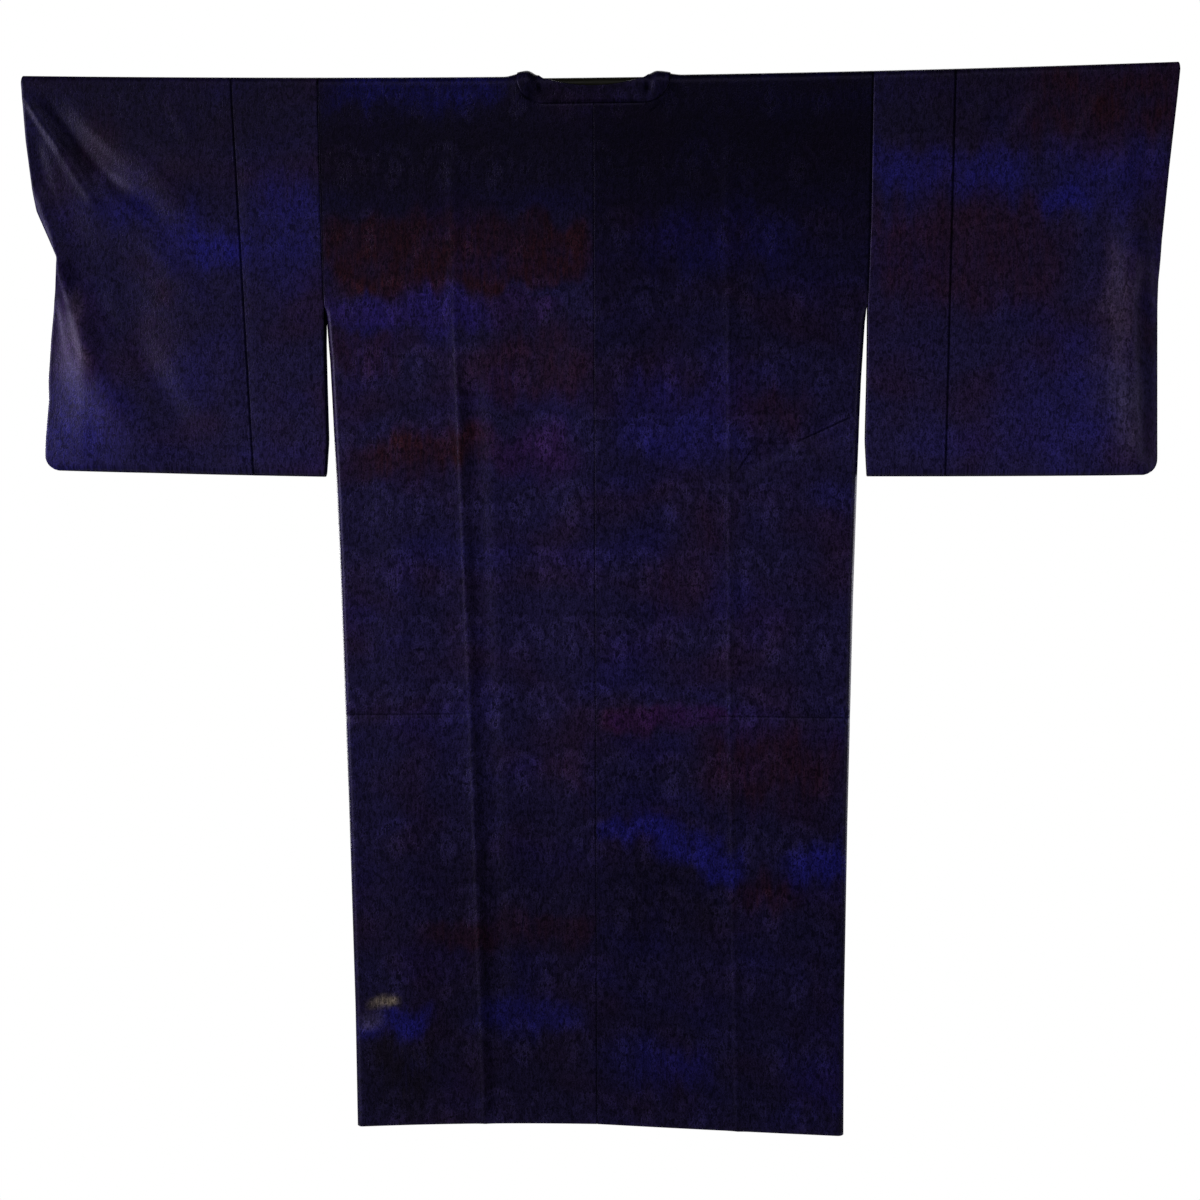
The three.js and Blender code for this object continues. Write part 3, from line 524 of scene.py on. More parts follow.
DYES = ("blue", "red", "violet", "dark_dye_and_shade", "cream_dye_and_sheen")
BLOB_POWER = 3.4  # roundness of a patch: 2 is an ellipse
CALM_BELOW = 45  # patches less deep than this keep their shape
# Painted light and shade down each piece, as (drop, share of the full colour): darker at the top by
# the rod and towards the hem, lighter low on the sleeves.
PAINTED_LIGHT_BY_DROP = {
    "body_left": ((-20, 0.30), (60, 0.33), (140, 0.46), (200, 0.78), (300, 1.0), (700, 1.04),
                  (900, 0.74), (1199, 0.6)),
    "body_right": ((-20, 0.15), (60, 0.17), (150, 0.32), (250, 0.54), (400, 0.92), (700, 0.97),
                   (850, 0.70), (1199, 0.52)),
    "sleeve_left": ((-20, 0.6), (60, 0.8), (150, 0.95), (300, 1.05), (450, 1.35)),
    "sleeve_right": ((-20, 0.55), (60, 0.75), (150, 0.85), (300, 1.0), (450, 1.3)),
    "tateeri": ((187, 0.7), (300, 1.0), (700, 1.0), (900, 0.75), (1199, 0.6)),
    "collar": ((-20, 0.30), (60, 0.32), (200, 0.7)),
}


def value_noise(x, y, seed):
    """Smooth noise from -1 to 1 on a unit lattice, the same in each run."""
    i, j = np.floor(x), np.floor(y)
    u, v = smoothstep(x - i), smoothstep(y - j)

    def knot(a, b):
        wave = np.sin(a * 127.1 + b * 311.7 + seed * 74.7) * 43758.5453
        return 2.0 * (wave - np.floor(wave)) - 1.0
    return mix(mix(knot(i, j), knot(i + 1, j), u), mix(knot(i, j + 1), knot(i + 1, j + 1), u), v)


def dye_fields(piece, x, s):
    """The share of each dye at each point of a piece, and its painted light and shade by drop."""
    fields = {kind: np.zeros_like(x) for kind in DYES}
    seed = sum(ord(letter) for letter in piece) % 97
    # the edges of the dye run along the warp in streaks
    streak = 13 * value_noise(x / 12, s / 85, seed) + 5 * value_noise(x / 5, s / 60, seed + 1) \
        + 9 * value_noise(x / 45, s / 45, seed + 2)
    sway = 12 * value_noise(x / 50, s / 38, seed + 3) + 5 * value_noise(x / 16, s / 20, seed + 4)
    place_x = x if piece.startswith("tateeri") else np.abs(x)
    for face in (1, -1):
        for kind, x0, x1, d0, d1, soft, strength in PATCHES.get((piece, face), ()):
            calm = min(1.0, (d1 - d0) / CALM_BELOW)
            dx = place_x + sway * calm - (x0 + x1) / 2
            dd = face * s - QUARTER + streak * calm - (d0 + d1) / 2
            share = ((np.abs(dx) / ((x1 - x0) / 2)) ** BLOB_POWER
                     + (np.abs(dd) / ((d1 - d0) / 2)) ** BLOB_POWER) ** (1 / BLOB_POWER)
            outside = (1 - 1 / np.maximum(share, 1e-3)) * np.hypot(dx, dd)
            inside = smoothstep(0.5 - outside / (soft * 1.25))
            fields[kind] = 1 - (1 - fields[kind]) * (1 - strength * inside)
    # painted light and shade, by drop down the piece
    depth = PAINTED_LIGHT_BY_DROP[piece if piece in PAINTED_LIGHT_BY_DROP else piece.split("_")[0]]
    fields["tone"] = at(depth, np.abs(s) - QUARTER)
    return fields


# ---- Meshes ----
def add_object(name, data):
    made = bpy.data.objects.new(name, data)
    bpy.context.scene.collection.objects.link(made)
    return made


def finish_mesh(name, verts, faces, uvs, fields, material):
    mesh = bpy.data.meshes.new(name)
    mesh.from_pydata((np.asarray(verts) / 1000.0).tolist(), [], faces)
    if uvs is not None:
        layer = mesh.uv_layers.new(name="Cloth")
        layer.data.foreach_set("uv", (np.asarray(uvs, np.float32) / 1000.0).ravel())
    for key, values in (fields or {}).items():
        attribute = mesh.attributes.new("dye_" + key, "FLOAT", "POINT")
        attribute.data.foreach_set("value", np.asarray(values, np.float32))
    mesh.polygons.foreach_set("use_smooth", [True] * len(mesh.polygons))
    mesh.materials.append(material)
    mesh.update()
    return add_object(name, mesh)


def unit(vectors):
    return vectors / np.maximum(np.linalg.norm(vectors, axis=-1, keepdims=True), 1e-9)


def cloth_shell(name, us, vs, surface, thickness, material, keep=None, ring=False,
                cloth_s=None):
    """A thin closed wall on a surface, with soft round edges. keep says which cells of the
    grid are cloth, ring joins its last row to its first, and cloth_s places its figure."""
    columns, rows = len(us), len(vs)
    count = rows * columns
    grid_u, grid_v = np.meshgrid(us, vs)
    step_u, step_v = 1e-3 * (us[-1] - us[0]), 0.02
    middle = np.stack(surface(grid_u, grid_v), -1)
    across = np.stack(surface(grid_u + step_u, grid_v), -1) \
        - np.stack(surface(grid_u - step_u, grid_v), -1)
    along = np.stack(surface(grid_u, grid_v + step_v), -1) \
        - np.stack(surface(grid_u, grid_v - step_v), -1)
    points = middle.reshape(-1, 3)
    half_wall = (unit(np.cross(across, along)) * thickness / 2).reshape(-1, 3)

    cells_down = rows if ring else rows - 1
    held = np.ones((cells_down, columns - 1), bool)
    if keep is not None:
        held = keep(*np.meshgrid(np.arange(columns - 1), np.arange(cells_down)))
    cj, ci = np.nonzero(held)
    nj = (cj + 1) % rows
    a, b = cj * columns + ci, cj * columns + ci + 1
    c, d = nj * columns + ci + 1, nj * columns + ci
    quads = np.stack((a, b, c, d), 1)
    place_s = grid_v if cloth_s is None else cloth_s(grid_u, grid_v)
    next_s = np.roll(place_s, -1, axis=0)
    next_s[-1] = 2 * place_s[-1] - place_s[-2]
    uv_top = np.stack((middle[..., 0], place_s), -1)
    uv_low = np.stack((np.roll(middle[..., 0], -1, axis=0), next_s), -1)
    uv_cells = np.stack((uv_top[cj, ci], uv_top[cj, ci + 1], uv_low[cj, ci + 1], uv_low[cj, ci]), 1)

    # edges of the wall: each border edge gets a soft rounded strip
    def is_held(j, i):
        if ring:
            j = j % cells_down
        inside = (j >= 0) & (j < cells_down) & (i >= 0) & (i < columns - 1)
        return inside & held[np.clip(j, 0, cells_down - 1), np.clip(i, 0, columns - 2)]

    borders = []
    for (p, q), (dj, di), (kp, kq) in (((a, b), (-1, 0), (0, 1)), ((b, c), (0, 1), (1, 2)),
                                      ((c, d), (1, 0), (2, 3)), ((d, a), (0, -1), (3, 0))):
        free = ~is_held(cj + dj, ci + di)
        borders.append((p[free], q[free], points[quads[free]].mean(1),
                        uv_cells[free][:, kp], uv_cells[free][:, kq]))
    p, q, centre, uv_p, uv_q = (np.concatenate(part) for part in zip(*borders))
    edge_dir = unit(points[q] - points[p])
    edge_out = (points[p] + points[q]) / 2 - centre
    edge_out = unit(edge_out - edge_dir * (edge_out * edge_dir).sum(1, keepdims=True))
    push = np.zeros_like(points)
    np.add.at(push, p, edge_out)
    np.add.at(push, q, edge_out)
    used = np.unique(np.concatenate((p, q)))
    rim_index = np.full(count, -1)
    rim_index[used] = 2 * count + np.arange(len(used))
    rp, rq = rim_index[p], rim_index[q]
    strip_uv = np.stack((uv_q, uv_p, uv_p, uv_q), 1).reshape(-1, 2)

    verts = np.concatenate((points + half_wall, points - half_wall,
                            points[used] + unit(push[used]) * thickness * SOFT_EDGE))
    faces = np.concatenate((quads, quads[:, ::-1] + count, np.stack((q, p, rp, rq), 1),
                            np.stack((rq, rp, p + count, q + count), 1)))
    uvs = np.concatenate((uv_cells.reshape(-1, 2), uv_cells[:, ::-1].reshape(-1, 2),
                          strip_uv, strip_uv))
    # leave out the grid points that no cell uses
    seen = np.zeros(len(verts), bool)
    seen[faces.ravel()] = True
    new_index = np.cumsum(seen) - 1
    # point the faces outwards
    tri = verts[faces]
    if sum((tri[:, 0] * np.cross(tri[:, m], tri[:, m + 1])).sum() for m in (1, 2)) < 0:
        faces = faces[:, ::-1]
        uvs = uvs.reshape(-1, 4, 2)[:, ::-1].reshape(-1, 2)
    fields = dye_fields(name, middle[..., 0].ravel(), place_s.ravel())
    fields = {key: np.concatenate((values, values, values[used]))[seen]
              for key, values in fields.items()}
    return finish_mesh(name + "_silk", verts[seen], new_index[faces].tolist(), uvs, fields,
                       material)


def tube_faces(rings, sides):
    """The quads between rings of points."""
    return [(ring * sides + k, (ring + 1) * sides + k, (ring + 1) * sides + (k + 1) % sides,
             ring * sides + (k + 1) % sides) for ring in range(rings - 1) for k in range(sides)]


# ---- Materials ----
NAVY = (0.0116, 0.0090, 0.0390, 1.0)
NAVY_LIGHT = (0.0136, 0.0104, 0.0480, 1.0)
DARK_DYE_AND_SHADE_COLOUR = (0.0085, 0.0060, 0.0150, 1.0)
MAROON = (0.0225, 0.0060, 0.0105, 1.0)
VIOLET = (0.0280, 0.0085, 0.0580, 1.0)
VIVID_BLUE = (0.0132, 0.0118, 0.1480, 1.0)
CREAM_DYE_AND_SHEEN = (0.1900, 0.1500, 0.1200, 1.0)
# The order in which the dyes, with the painted shade and highlight among them, lie over each other.
DYE_COLOURS = (("dark_dye_and_shade", DARK_DYE_AND_SHADE_COLOUR), ("red", MAROON), ("violet", VIOLET), ("blue", VIVID_BLUE),
               ("cream_dye_and_sheen", CREAM_DYE_AND_SHEEN))
# Broad hazes under the patches: (mm across, mm down, shift, from, to, share, colour).
HAZES = ((120, 80, (3, 8, 0), 0.40, 0.80, 0.34, MAROON),
         (100, 66, (6, 1, 0), 0.45, 0.82, 0.20, VIVID_BLUE))
REPEAT_ACROSS, REPEAT_DOWN = 0.058, 0.078  # the woven figure's cells, in metres
ARCH_RADIUS = 0.40  # of its scallops, in cells
FIGURE_SHARE, STROKE_SHARE = 0.46, 0.60  # what blossoms and strokes add to the weave
LARGE_SHARE, PLAIN_SHARE = 0.64, 0.68  # how it brightens on and off the large figure
TONE_OF_WEAVE, TONE_BASE = 1.75, 0.38
PRESSED_SHADE = 0.85
LINE_ENDS = (2.0, 14.0)  # a painted shade line fades out over these, in mm
SILK_ROUGHNESS, WEAVE_GLOSS = 0.43, 0.06
SILK_SPECULAR = 0.16
SILK_SHEEN = (0.56, 0.47, 1.0, 1.0)
THREAD_BUMP, WEAVE_BUMP, PRESSED_BUMP = 0.00004, 0.00014, 0.0003  # in metres


class Graph:
    """Adds nodes to one material."""

    def __init__(self, name):
        self.material = bpy.data.materials.new(name)
        self.material.use_nodes = True
        self.tree = self.material.node_tree
        self.shader = self.tree.nodes["Principled BSDF"]

    def feed(self, made, inputs):
        """Links or sets the inputs of a node."""
        for key, value in dict(inputs).items():
            if hasattr(value, "is_output"):
                self.tree.links.new(value, made.inputs[key])
            else:
                made.inputs[key].default_value = value
        return made

    def node(self, kind, inputs=(), **settings):
        made = self.tree.nodes.new(kind)
        for key, value in settings.items():
            setattr(made, key, value)
        return self.feed(made, inputs)

    def math(self, operation, a, b=0.0, c=0.0, clamp=False):
        return self.node("ShaderNodeMath", enumerate((a, b, c)), operation=operation,
                         use_clamp=clamp).outputs[0]

    def times(self, a, b, clamp=False):
        return self.math("MULTIPLY", a, b, clamp=clamp)

    def plus(self, a, b):
        return self.math("ADD", a, b)

    def minus(self, a, b):
        return self.math("SUBTRACT", a, b)

    def linear(self, value, slope, start):
        return self.math("MULTIPLY_ADD", value, slope, start)

    def absolute(self, value):
        return self.math("ABSOLUTE", value)

    def step(self, value, low, high, to_low=0.0, to_high=1.0):
        return self.node("ShaderNodeMapRange",
                         {"Value": value, "From Min": low, "From Max": high, "To Min": to_low,
                          "To Max": to_high}, interpolation_type="SMOOTHSTEP").outputs["Result"]

    def scaled(self, vector, across, along, shift=(0, 0, 0)):
        return self.node("ShaderNodeMapping",
                         {"Vector": vector, "Scale": (across, along, 1.0),
                          "Location": shift}).outputs["Vector"]

    def noise(self, vector, detail=2.0, roughness=0.5, distortion=0.0):
        return self.node("ShaderNodeTexNoise",
                         {"Vector": vector, "Scale": 1.0, "Detail": detail,
                          "Roughness": roughness, "Distortion": distortion},
                         noise_dimensions="2D").outputs["Fac"]

    def xy(self, vector):
        return self.node("ShaderNodeSeparateXYZ", {0: vector}).outputs[:2]

    def subtract(self, a, b):
        return self.node("ShaderNodeVectorMath", {0: a, 1: b}, operation="SUBTRACT").outputs[0]

    def blend(self, share, a, b):
        """Mixes two colours, through the node's colour sockets."""
        return self.node("ShaderNodeMix", {"Factor": share, 6: a, 7: b},
                         data_type="RGBA").outputs[2]

    def attribute(self, name):
        return self.node("ShaderNodeAttribute", attribute_name=name).outputs["Fac"]

    def bump(self, height, distance, strength=1.0, **normal):
        return self.node("ShaderNodeBump", {"Strength": strength, "Distance": distance,
                                            "Height": height, **normal}).outputs["Normal"]

    def shade(self, inputs):
        """Sets up the shader, and gives back the finished material."""
        self.feed(self.shader, inputs)
        return self.material


def shade_line(graph, x, drop, line):
    """A thin line on the cloth, in millimetres: 1 on the line and 0 beside it."""
    x0, drop0, x1, drop1, strength, half = line
    length = math.hypot(x1 - x0, drop1 - drop0)
    to_x, to_drop = (x1 - x0) / length, (drop1 - drop0) / length
    from_x, from_drop = graph.minus(x, x0), graph.minus(drop, drop0)
    along = graph.plus(graph.times(from_x, to_x), graph.times(from_drop, to_drop))
    off = graph.absolute(graph.minus(graph.times(from_x, to_drop), graph.times(from_drop, to_x)))
    thin = graph.step(off, 0.2 * half, half, strength, 0.0)
    before, within = LINE_ENDS
    ends = graph.times(graph.step(along, -before, within),
                       graph.step(along, length - within, length + before, 1.0, 0.0))
    return graph.times(thin, ends)


def flower(graph, cloth, size, randomness, petals, shift):
    """Rings of petals, one in each cell of a loose grid: a value from 0 to 1."""
    spread = graph.scaled(cloth, 1000.0 / size, 1000.0 / size, shift)
    cells = graph.node("ShaderNodeTexVoronoi",
                       {"Vector": spread, "Scale": 1.0, "Randomness": randomness},
                       voronoi_dimensions="2D", feature="F1")
    from_heart = cells.outputs["Distance"]
    x, y = graph.xy(graph.subtract(spread, cells.outputs["Position"]))
    lobes = graph.math("COSINE", graph.times(graph.math("ARCTAN2", y, x), float(petals)))
    rim = graph.linear(lobes, 0.055, 0.30)
    ring = graph.step(graph.absolute(graph.minus(from_heart, rim)), 0.03, 0.12, 1.0, 0.0)
    heart = graph.step(from_heart, 0.05, 0.13, 0.8, 0.0)
    return graph.math("MAXIMUM", ring, heart)


def woven_figure(graph, cloth, mottle):
    """Sprays and scallops on a half-drop lattice, small blossoms between them, all in short
    strokes that run along the warp."""
    x, s = graph.xy(cloth)
    row = graph.math("DIVIDE", s, REPEAT_DOWN)
    half_drop = graph.times(graph.math("FLOORED_MODULO", graph.math("FLOOR", row), 2.0), 0.5)
    column = graph.plus(graph.math("DIVIDE", x, REPEAT_ACROSS), half_drop)
    bend = graph.times(graph.minus(mottle(17, 17, detail=1.0), 0.5), 0.34)
    local_x = graph.plus(graph.minus(graph.math("FRACT", column), 0.5), bend)
    local_y = graph.minus(graph.math("FRACT", row), 0.5)

    def distance(a, b):
        return graph.plus(graph.math("POWER", a, 2.0), graph.math("POWER", b, 2.0))
    radius = graph.math("SQRT", distance(local_x, local_y))
    arch = graph.step(graph.absolute(graph.minus(radius, ARCH_RADIUS)), 0.02, 0.11, 1.0, 0.0)
    arch = graph.times(arch, graph.step(local_y, -0.1, 0.15, 0.8, 0.2))
    spray = distance(graph.times(local_x, 5.2), graph.times(local_y, 3.3))
    spray = graph.step(spray, 0.25, 1.1, 1.0, 0.0)
    # the large figure is lost in the plainer look of the sleeves, and is uneven elsewhere
    large = graph.times(graph.math("MAXIMUM", arch, spray),
                        graph.step(graph.absolute(x), 0.26, 0.34, 1.0, 0.35))
    large = graph.times(large, graph.step(mottle(70, 70, detail=1.0), 0.34, 0.58, 0.45, 1.1))
    small = flower(graph, cloth, 11.0, 0.75, 5, (0, 0, 0))
    tiny = flower(graph, cloth, 6.4, 0.9, 6, (3.7, 1.9, 0))
    strokes = mottle(2.5, 6.5, detail=1.5, roughness=0.6, distortion=0.9)
    figure = graph.math("MAXIMUM", graph.times(small, 0.9), graph.times(tiny, 0.55))
    woven = graph.linear(figure, FIGURE_SHARE,
                         graph.times(graph.step(strokes, 0.38, 0.62), STROKE_SHARE))
    return graph.times(woven, graph.linear(large, LARGE_SHARE, PLAIN_SHARE))


def silk_material(name):
    graph = Graph(name)
    cloth = graph.node("ShaderNodeUVMap", uv_map="Cloth").outputs[0]

    def mottle(across, down, shift=(0, 0, 0), **settings):
        """Noise whose grain is so many millimetres across and down the cloth."""
        return graph.noise(graph.scaled(cloth, 1000.0 / across, 1000.0 / down, shift), **settings)

    weave = woven_figure(graph, cloth, mottle)

    # painted shade in thin dark lines along the creases, seams and hollows, which also take away
    # the specular and sink the cloth a little
    x, s = graph.xy(cloth)
    x_mm = graph.times(x, 1000.0)
    back_mm = graph.linear(s, 1000.0, -QUARTER)
    drop_mm = graph.linear(graph.absolute(s), 1000.0, -QUARTER)
    pressed = shade_line(graph, x_mm, back_mm, CENTRE_SEAM_SHADE)
    for line in PAINTED_SHADE_LINES:
        pressed = graph.math("MAXIMUM", pressed, shade_line(graph, x_mm, drop_mm, line))

    # hazy dye: each patch is uneven within, with fine streaks along the warp
    fine_streaks = mottle(4, 40, detail=2.0, roughness=0.6)
    clouds = mottle(30, 34, (9, 4, 0), detail=3.0)
    uneven = graph.linear(graph.minus(clouds, 0.5), 1.6, graph.linear(fine_streaks, 1.1, 0.45))
    colour = graph.blend(graph.step(clouds, 0.25, 0.8), NAVY, NAVY_LIGHT)
    for across, down, shift, low, high, share, tint in HAZES:
        drift = mottle(across, down, shift, detail=2.0)
        colour = graph.blend(graph.step(drift, low, high, 0.0, share), colour, tint)
    for kind, tint in DYE_COLOURS:
        share = graph.times(graph.attribute("dye_" + kind), uneven, clamp=True)
        colour = graph.blend(share, colour, tint)
    # painted light and shade by drop, times the brightness of the woven figure
    tone = graph.times(graph.attribute("dye_tone"), graph.linear(weave, TONE_OF_WEAVE, TONE_BASE))
    # painted shade on the crease, seam and hollow lines
    tone = graph.times(tone, graph.linear(pressed, -PRESSED_SHADE, 1.0))
    shaded = graph.node("ShaderNodeVectorMath", {0: colour, "Scale": tone}, operation="SCALE")
    threads = graph.bump(mottle(0.5, 0.9, (1, 7, 0), detail=1.0), THREAD_BUMP)
    woven_bump = graph.bump(weave, WEAVE_BUMP, Normal=threads)
    valley = graph.minus(1.0, pressed)
    return graph.shade({
        "Base Color": shaded.outputs[0],
        "Roughness": graph.linear(weave, -WEAVE_GLOSS, SILK_ROUGHNESS),
        "Specular IOR Level": graph.linear(pressed, -SILK_SPECULAR, SILK_SPECULAR),
        "Specular Tint": SILK_SHEEN,
        "Normal": graph.bump(valley, PRESSED_BUMP, Normal=woven_bump)})


def rod_material():
    graph = Graph("rod_satin_black")
    coords = graph.node("ShaderNodeTexCoord").outputs["Object"]
    wear = graph.noise(graph.scaled(coords, 22.0, 160.0), 3.0)
    grain = graph.noise(graph.scaled(coords, 60.0, 900.0), 2.0)
    return graph.shade({
        "Base Color": graph.blend(graph.step(wear, 0.4, 0.75), (0.0062, 0.0060, 0.0040, 1.0),
                                  (0.0095, 0.0090, 0.0068, 1.0)),
        "Roughness": graph.linear(wear, 0.22, 0.3), "Specular IOR Level": 0.1,
        "Normal": graph.bump(grain, 0.00008, 0.6)})


def floor_material():
    graph = Graph("floor_pale")
    coords = graph.node("ShaderNodeTexCoord").outputs["Object"]
    mottle = graph.noise(graph.scaled(coords, 3.0, 3.0), 4.0)
    return graph.shade({"Base Color": graph.blend(mottle, (0.72, 0.71, 0.70, 1.0),
                                                  (0.78, 0.77, 0.76, 1.0)), "Roughness": 0.8})


SILK = silk_material("silk_dyed")
ROD_PAINT = rod_material()


# ---- Pieces of cloth ----
# The stored fold is pressed between two pairs of drops, where the rows lie closer.
FOLD_ROWS = [STORED_FOLD + away for away in (13, 4, -4, -13)]


def spans_past_fold(start, counts, *after):
    """Rows of cloth up the drop across the stored fold."""
    return spans(start, *zip(FOLD_ROWS, counts), *after)


def body_piece(hand, name):
    side = np.unique(np.concatenate((
        spans(0, (0.04, 4), (1, 13)), spans(1, (1.5, 23)), 1.5 - np.array([0.006, 0.014, 0.026]),
        spans(1.5, (2, 34)), 1.5 + np.array([0.004, 0.009, 0.017]), spans(2, (3, 9)))))
    back = spans_past_fold(COAT_DROP, (108, 4, 8, 4), (300, 98), (220, 24),
                           (COLLAR_BACK_SEAM, 48))
    front = spans_past_fold(COAT_DROP - FRONT_HEM_RISE, (56, 3, 5, 3), (300, 52), (220, 14),
                            (0, 30))[::-1]
    neck_rows = NECK[NECK_STRAIGHT:, 1]
    neck_rows = neck_rows[neck_rows > -QUARTER + 0.5]
    vs = np.concatenate((QUARTER + back, neck_rows, -(QUARTER + front)))
    first_neck = len(back) - 1
    first_side = int(np.argmin(np.abs(side - 1.0)))
    return cloth_shell(name, side, vs, body_surface(hand), CLOTH, SILK,
                       keep=lambda i, j: (j < first_neck) | (i >= first_side))


def sleeve_piece(hand, name):
    fs = np.unique(np.concatenate((
        spans(0, (0.03, 3), (0.5, 24)), 0.5 - np.array([0.004, 0.009, 0.016]),
        spans(0.5, (0.97, 52), (1, 6)), 0.5 + np.array([0.0025, 0.006, 0.011]))))
    near, far = QUARTER + 110, SLEEVE_LENGTH - 12  # between them the rows lie wider
    down = spans(QUARTER, (near, 30), (far, 80), (SLEEVE_LENGTH, 4))
    arc = spans(-QUARTER, (QUARTER, 16))[1:-1]
    bottom = spans(SLEEVE_LENGTH, (SLEEVE_LENGTH + 2, 10))[1:-1]
    front = -spans(QUARTER, (near, 18), (far, 50), (SLEEVE_LENGTH, 3))[::-1]
    return cloth_shell(name, fs, np.concatenate((front, arc, down, bottom)),
                       sleeve_surface(hand), CLOTH, SILK, ring=True)


def overlap_piece(hand, name):
    drops = spans(NECK_FRONT_DROP, *zip(FOLD_ROWS[::-1], (96, 4, 6, 4)),
                  (COAT_DROP - FRONT_HEM_RISE, 84))
    return cloth_shell(name, spans(0, (1, 42)), -(QUARTER + drops), overlap_surface(hand),
                       CLOTH, SILK)


def collar_piece(name):
    rows = collar_rows()
    us = spans(0, (0.1, 3), (0.9, 9), (1, 3))
    return cloth_shell(name, us, np.arange(len(rows), dtype=float), collar_surface(rows),
                       COLLAR_CLOTH, SILK, cloth_s=collar_place(rows))


def button_piece(name, drop):
    """A mould covered in silk: a dome, tight over its edge, on a narrow gathered foot."""
    thickness = COLLAR_CLOTH if drop < NECK_FRONT_DROP else CLOTH
    base_y = -(float(at(BODY_DEPTH, drop)) + OVERLAP_LIFT + thickness) \
        + float(hang_relief(np.array(BUTTON_X), np.array(drop))) - SEAM_GAP
    centre = np.array([BUTTON_X, base_y, float(rod_rise(BUTTON_X)) - drop])
    profile = [(BUTTON_RADIUS - 3.2, 0.0), (BUTTON_RADIUS - 1.6, 0.35)]
    for turn in np.linspace(-0.55, math.pi / 2, 15)[:-1]:
        profile.append((BUTTON_RADIUS * math.cos(turn),
                        BUTTON_EDGE + (BUTTON_DEPTH - BUTTON_EDGE) * math.sin(turn)))
    sides, rings = 72, len(profile)
    verts = []
    for r, h in profile:
        for k in range(sides):
            angle = 2 * math.pi * k / sides
            tuck = 1 + 0.018 * math.cos(12 * angle) * smoothstep((2.6 - h) / 2.6)
            verts.append(centre + (r * tuck * math.cos(angle), -h, r * tuck * math.sin(angle)))
    verts += [centre, centre + (0, -BUTTON_DEPTH, 0)]
    faces = tube_faces(rings, sides)
    for k in range(sides):
        n = (k + 1) % sides
        faces.append((len(verts) - 2, k, n))
        faces.append((len(verts) - 1, (rings - 1) * sides + n, (rings - 1) * sides + k))
    uvs = [(verts[index] - centre)[[0, 2]] + 40.0 for face in faces for index in face]
    fields = {kind: np.zeros(len(verts)) for kind in DYES}
    fields["violet"] += 0.15
    fields["tone"] = np.full(len(verts), 0.95)
    return finish_mesh(name + "_silk", verts, faces, uvs, fields, SILK)


def rod_piece(name):
    """The rod with a small rounded end to each side."""
    ends = ((0.0, ROD_RADIUS - 1.6), (0.35, ROD_RADIUS - 0.7), (1.4, ROD_RADIUS))
    stations = [(ROD_ENDS[0] + inward, r) for inward, r in ends]
    stations += [(x, ROD_RADIUS) for x in np.linspace(ROD_ENDS[0] + 8, ROD_ENDS[1] - 8, 60)]
    stations += [(ROD_ENDS[1] - inward, r) for inward, r in ends[::-1]]
    sides = 48
    verts = []
    for x, r in stations:
        for k in range(sides):
            angle = 2 * math.pi * k / sides
            verts.append((x, r * math.sin(angle), r * math.cos(angle) + float(rod_rise(x))))
    faces = tube_faces(len(stations), sides)
    faces.append(tuple(range(sides)))
    faces.append(tuple(range(len(verts) - sides, len(verts)))[::-1])
    piece = finish_mesh(name + "_bar", verts, faces, None, None, ROD_PAINT)
    piece.data.validate()
    return piece


pieces = {}
for hand, word in ((1, "left"), (-1, "right")):
    for kind, make in (("body_", body_piece), ("sleeve_", sleeve_piece),
                       ("tateeri_", overlap_piece)):
        pieces[kind + word] = make(hand, kind + word)
pieces["collar"] = collar_piece("collar")
for node, drop in BUTTON_DROPS.items():
    pieces[node] = button_piece(node, drop)
pieces["hanging_rod"] = rod_piece("hanging_rod")
for node, piece in pieces.items():
    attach(piece, "root")
    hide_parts(node)

# ---- Stage, light and camera ----
floor_mesh = bpy.data.meshes.new("floor")
FLOOR_TOP, FLOOR_HALF = -1.52, (1.15, 0.68)
floor_verts = [(sx * FLOOR_HALF[0], sy * FLOOR_HALF[1], FLOOR_TOP + dz)
               for dz in (0.0, -0.02) for sx, sy in ((-1, -1), (1, -1), (1, 1), (-1, 1))]
floor_mesh.from_pydata(floor_verts, [], [(0, 1, 2, 3), (7, 6, 5, 4), (0, 4, 5, 1), (1, 5, 6, 2),
                                        (2, 6, 7, 3), (3, 7, 4, 0)])
floor_mesh.materials.append(floor_material())
add_object("floor", floor_mesh)


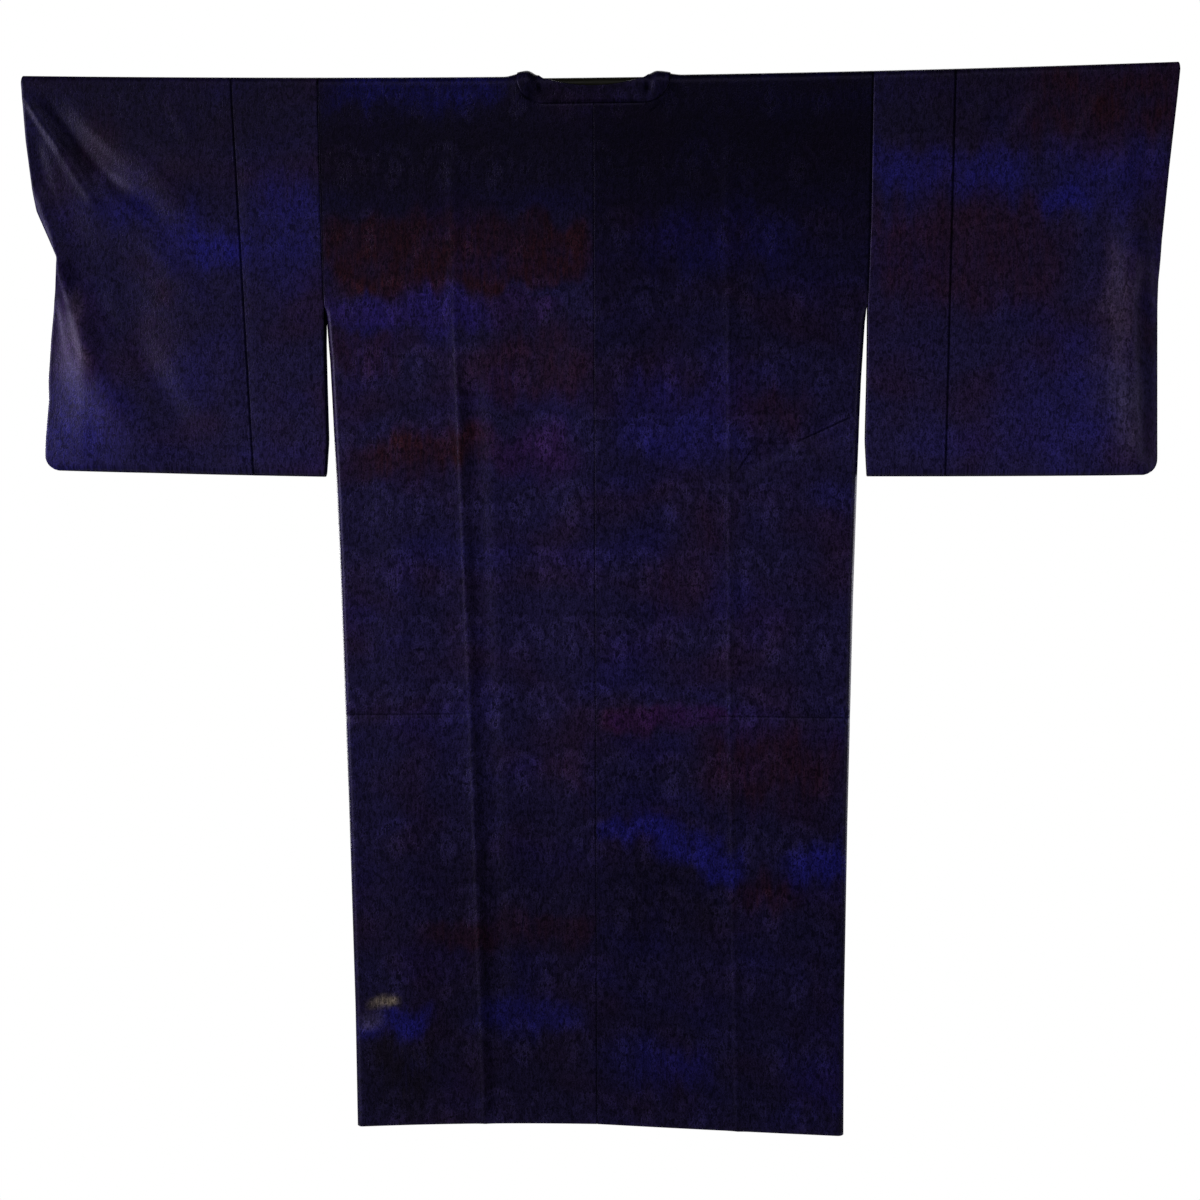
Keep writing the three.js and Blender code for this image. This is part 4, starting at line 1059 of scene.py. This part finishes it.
# (name, place, aim, size in metres, power in watts)
LIGHTS = (
    ("key_left", (9.0, 4.6, 0.9), (0.0, 0.0, -0.5), (2.0, 3.0), 760),
    ("fill_right", (-2.3, 1.5, -0.6), (-0.2, 0.0, -0.55), (0.8, 1.0), 11),
    ("overhead_back", (0.0, 1.9, 1.5), (0.0, 0.0, -0.7), (1.8, 0.8), 10),
    ("front_left", (1.9, -1.9, -0.5), (0.1, 0.0, -0.6), (0.8, 1.0), 28),
    ("front_right", (-2.2, -1.5, -0.5), (-0.1, 0.0, -0.6), (0.8, 1.0), 22),
    ("overhead_front", (0.0, -1.9, 1.5), (0.0, 0.0, -0.7), (1.8, 0.8), 10),
)
for name, place, aim, size, power in LIGHTS:
    data = bpy.data.lights.new(name, "AREA")
    data.shape = "RECTANGLE"
    data.size, data.size_y = size
    data.energy = power
    lamp = add_object(name, data)
    lamp.location = place
    lamp.rotation_euler = (Vector(aim) - Vector(place)).to_track_quat("-Z", "Y").to_euler()
    lamp.visible_camera = False

world = bpy.data.worlds.new("white_room")
world.use_nodes = True
background = world.node_tree.nodes["Background"].inputs
background["Color"].default_value = (1.0, 1.0, 1.0, 1.0)
background["Strength"].default_value = 1.0
for ray in ("diffuse", "glossy", "transmission", "scatter"):
    setattr(world.cycles_visibility, ray, False)
bpy.context.scene.world = world
bpy.context.scene.view_settings.view_transform = "Standard"

# The camera looks at the back, a little from the wearer's right.
CAMERA_PLACE = (-0.1473, 2.3955, -0.5953)
LENS_MM, SENSOR_MM = 62.22, 36.0
YAW, ROLL_ANGLE = math.radians(3.4), math.radians(0.2)
forward = Vector((math.sin(YAW), -math.cos(YAW), 0.0))
level = Vector((-math.cos(YAW), -math.sin(YAW), 0.0))
right = level * math.cos(ROLL_ANGLE) - Vector((0, 0, 1)) * math.sin(ROLL_ANGLE)
up = Vector((0, 0, 1)) * math.cos(ROLL_ANGLE) + level * math.sin(ROLL_ANGLE)
camera_data = bpy.data.cameras.new("camera")
camera_data.lens = LENS_MM
camera_data.sensor_width = SENSOR_MM
camera = add_object("camera", camera_data)
camera.matrix_world = Matrix.Translation(CAMERA_PLACE) @ Matrix(
    ((right.x, up.x, -forward.x, 0), (right.y, up.y, -forward.y, 0),
     (right.z, up.z, -forward.z, 0), (0, 0, 0, 1)))
bpy.context.scene.camera = camera
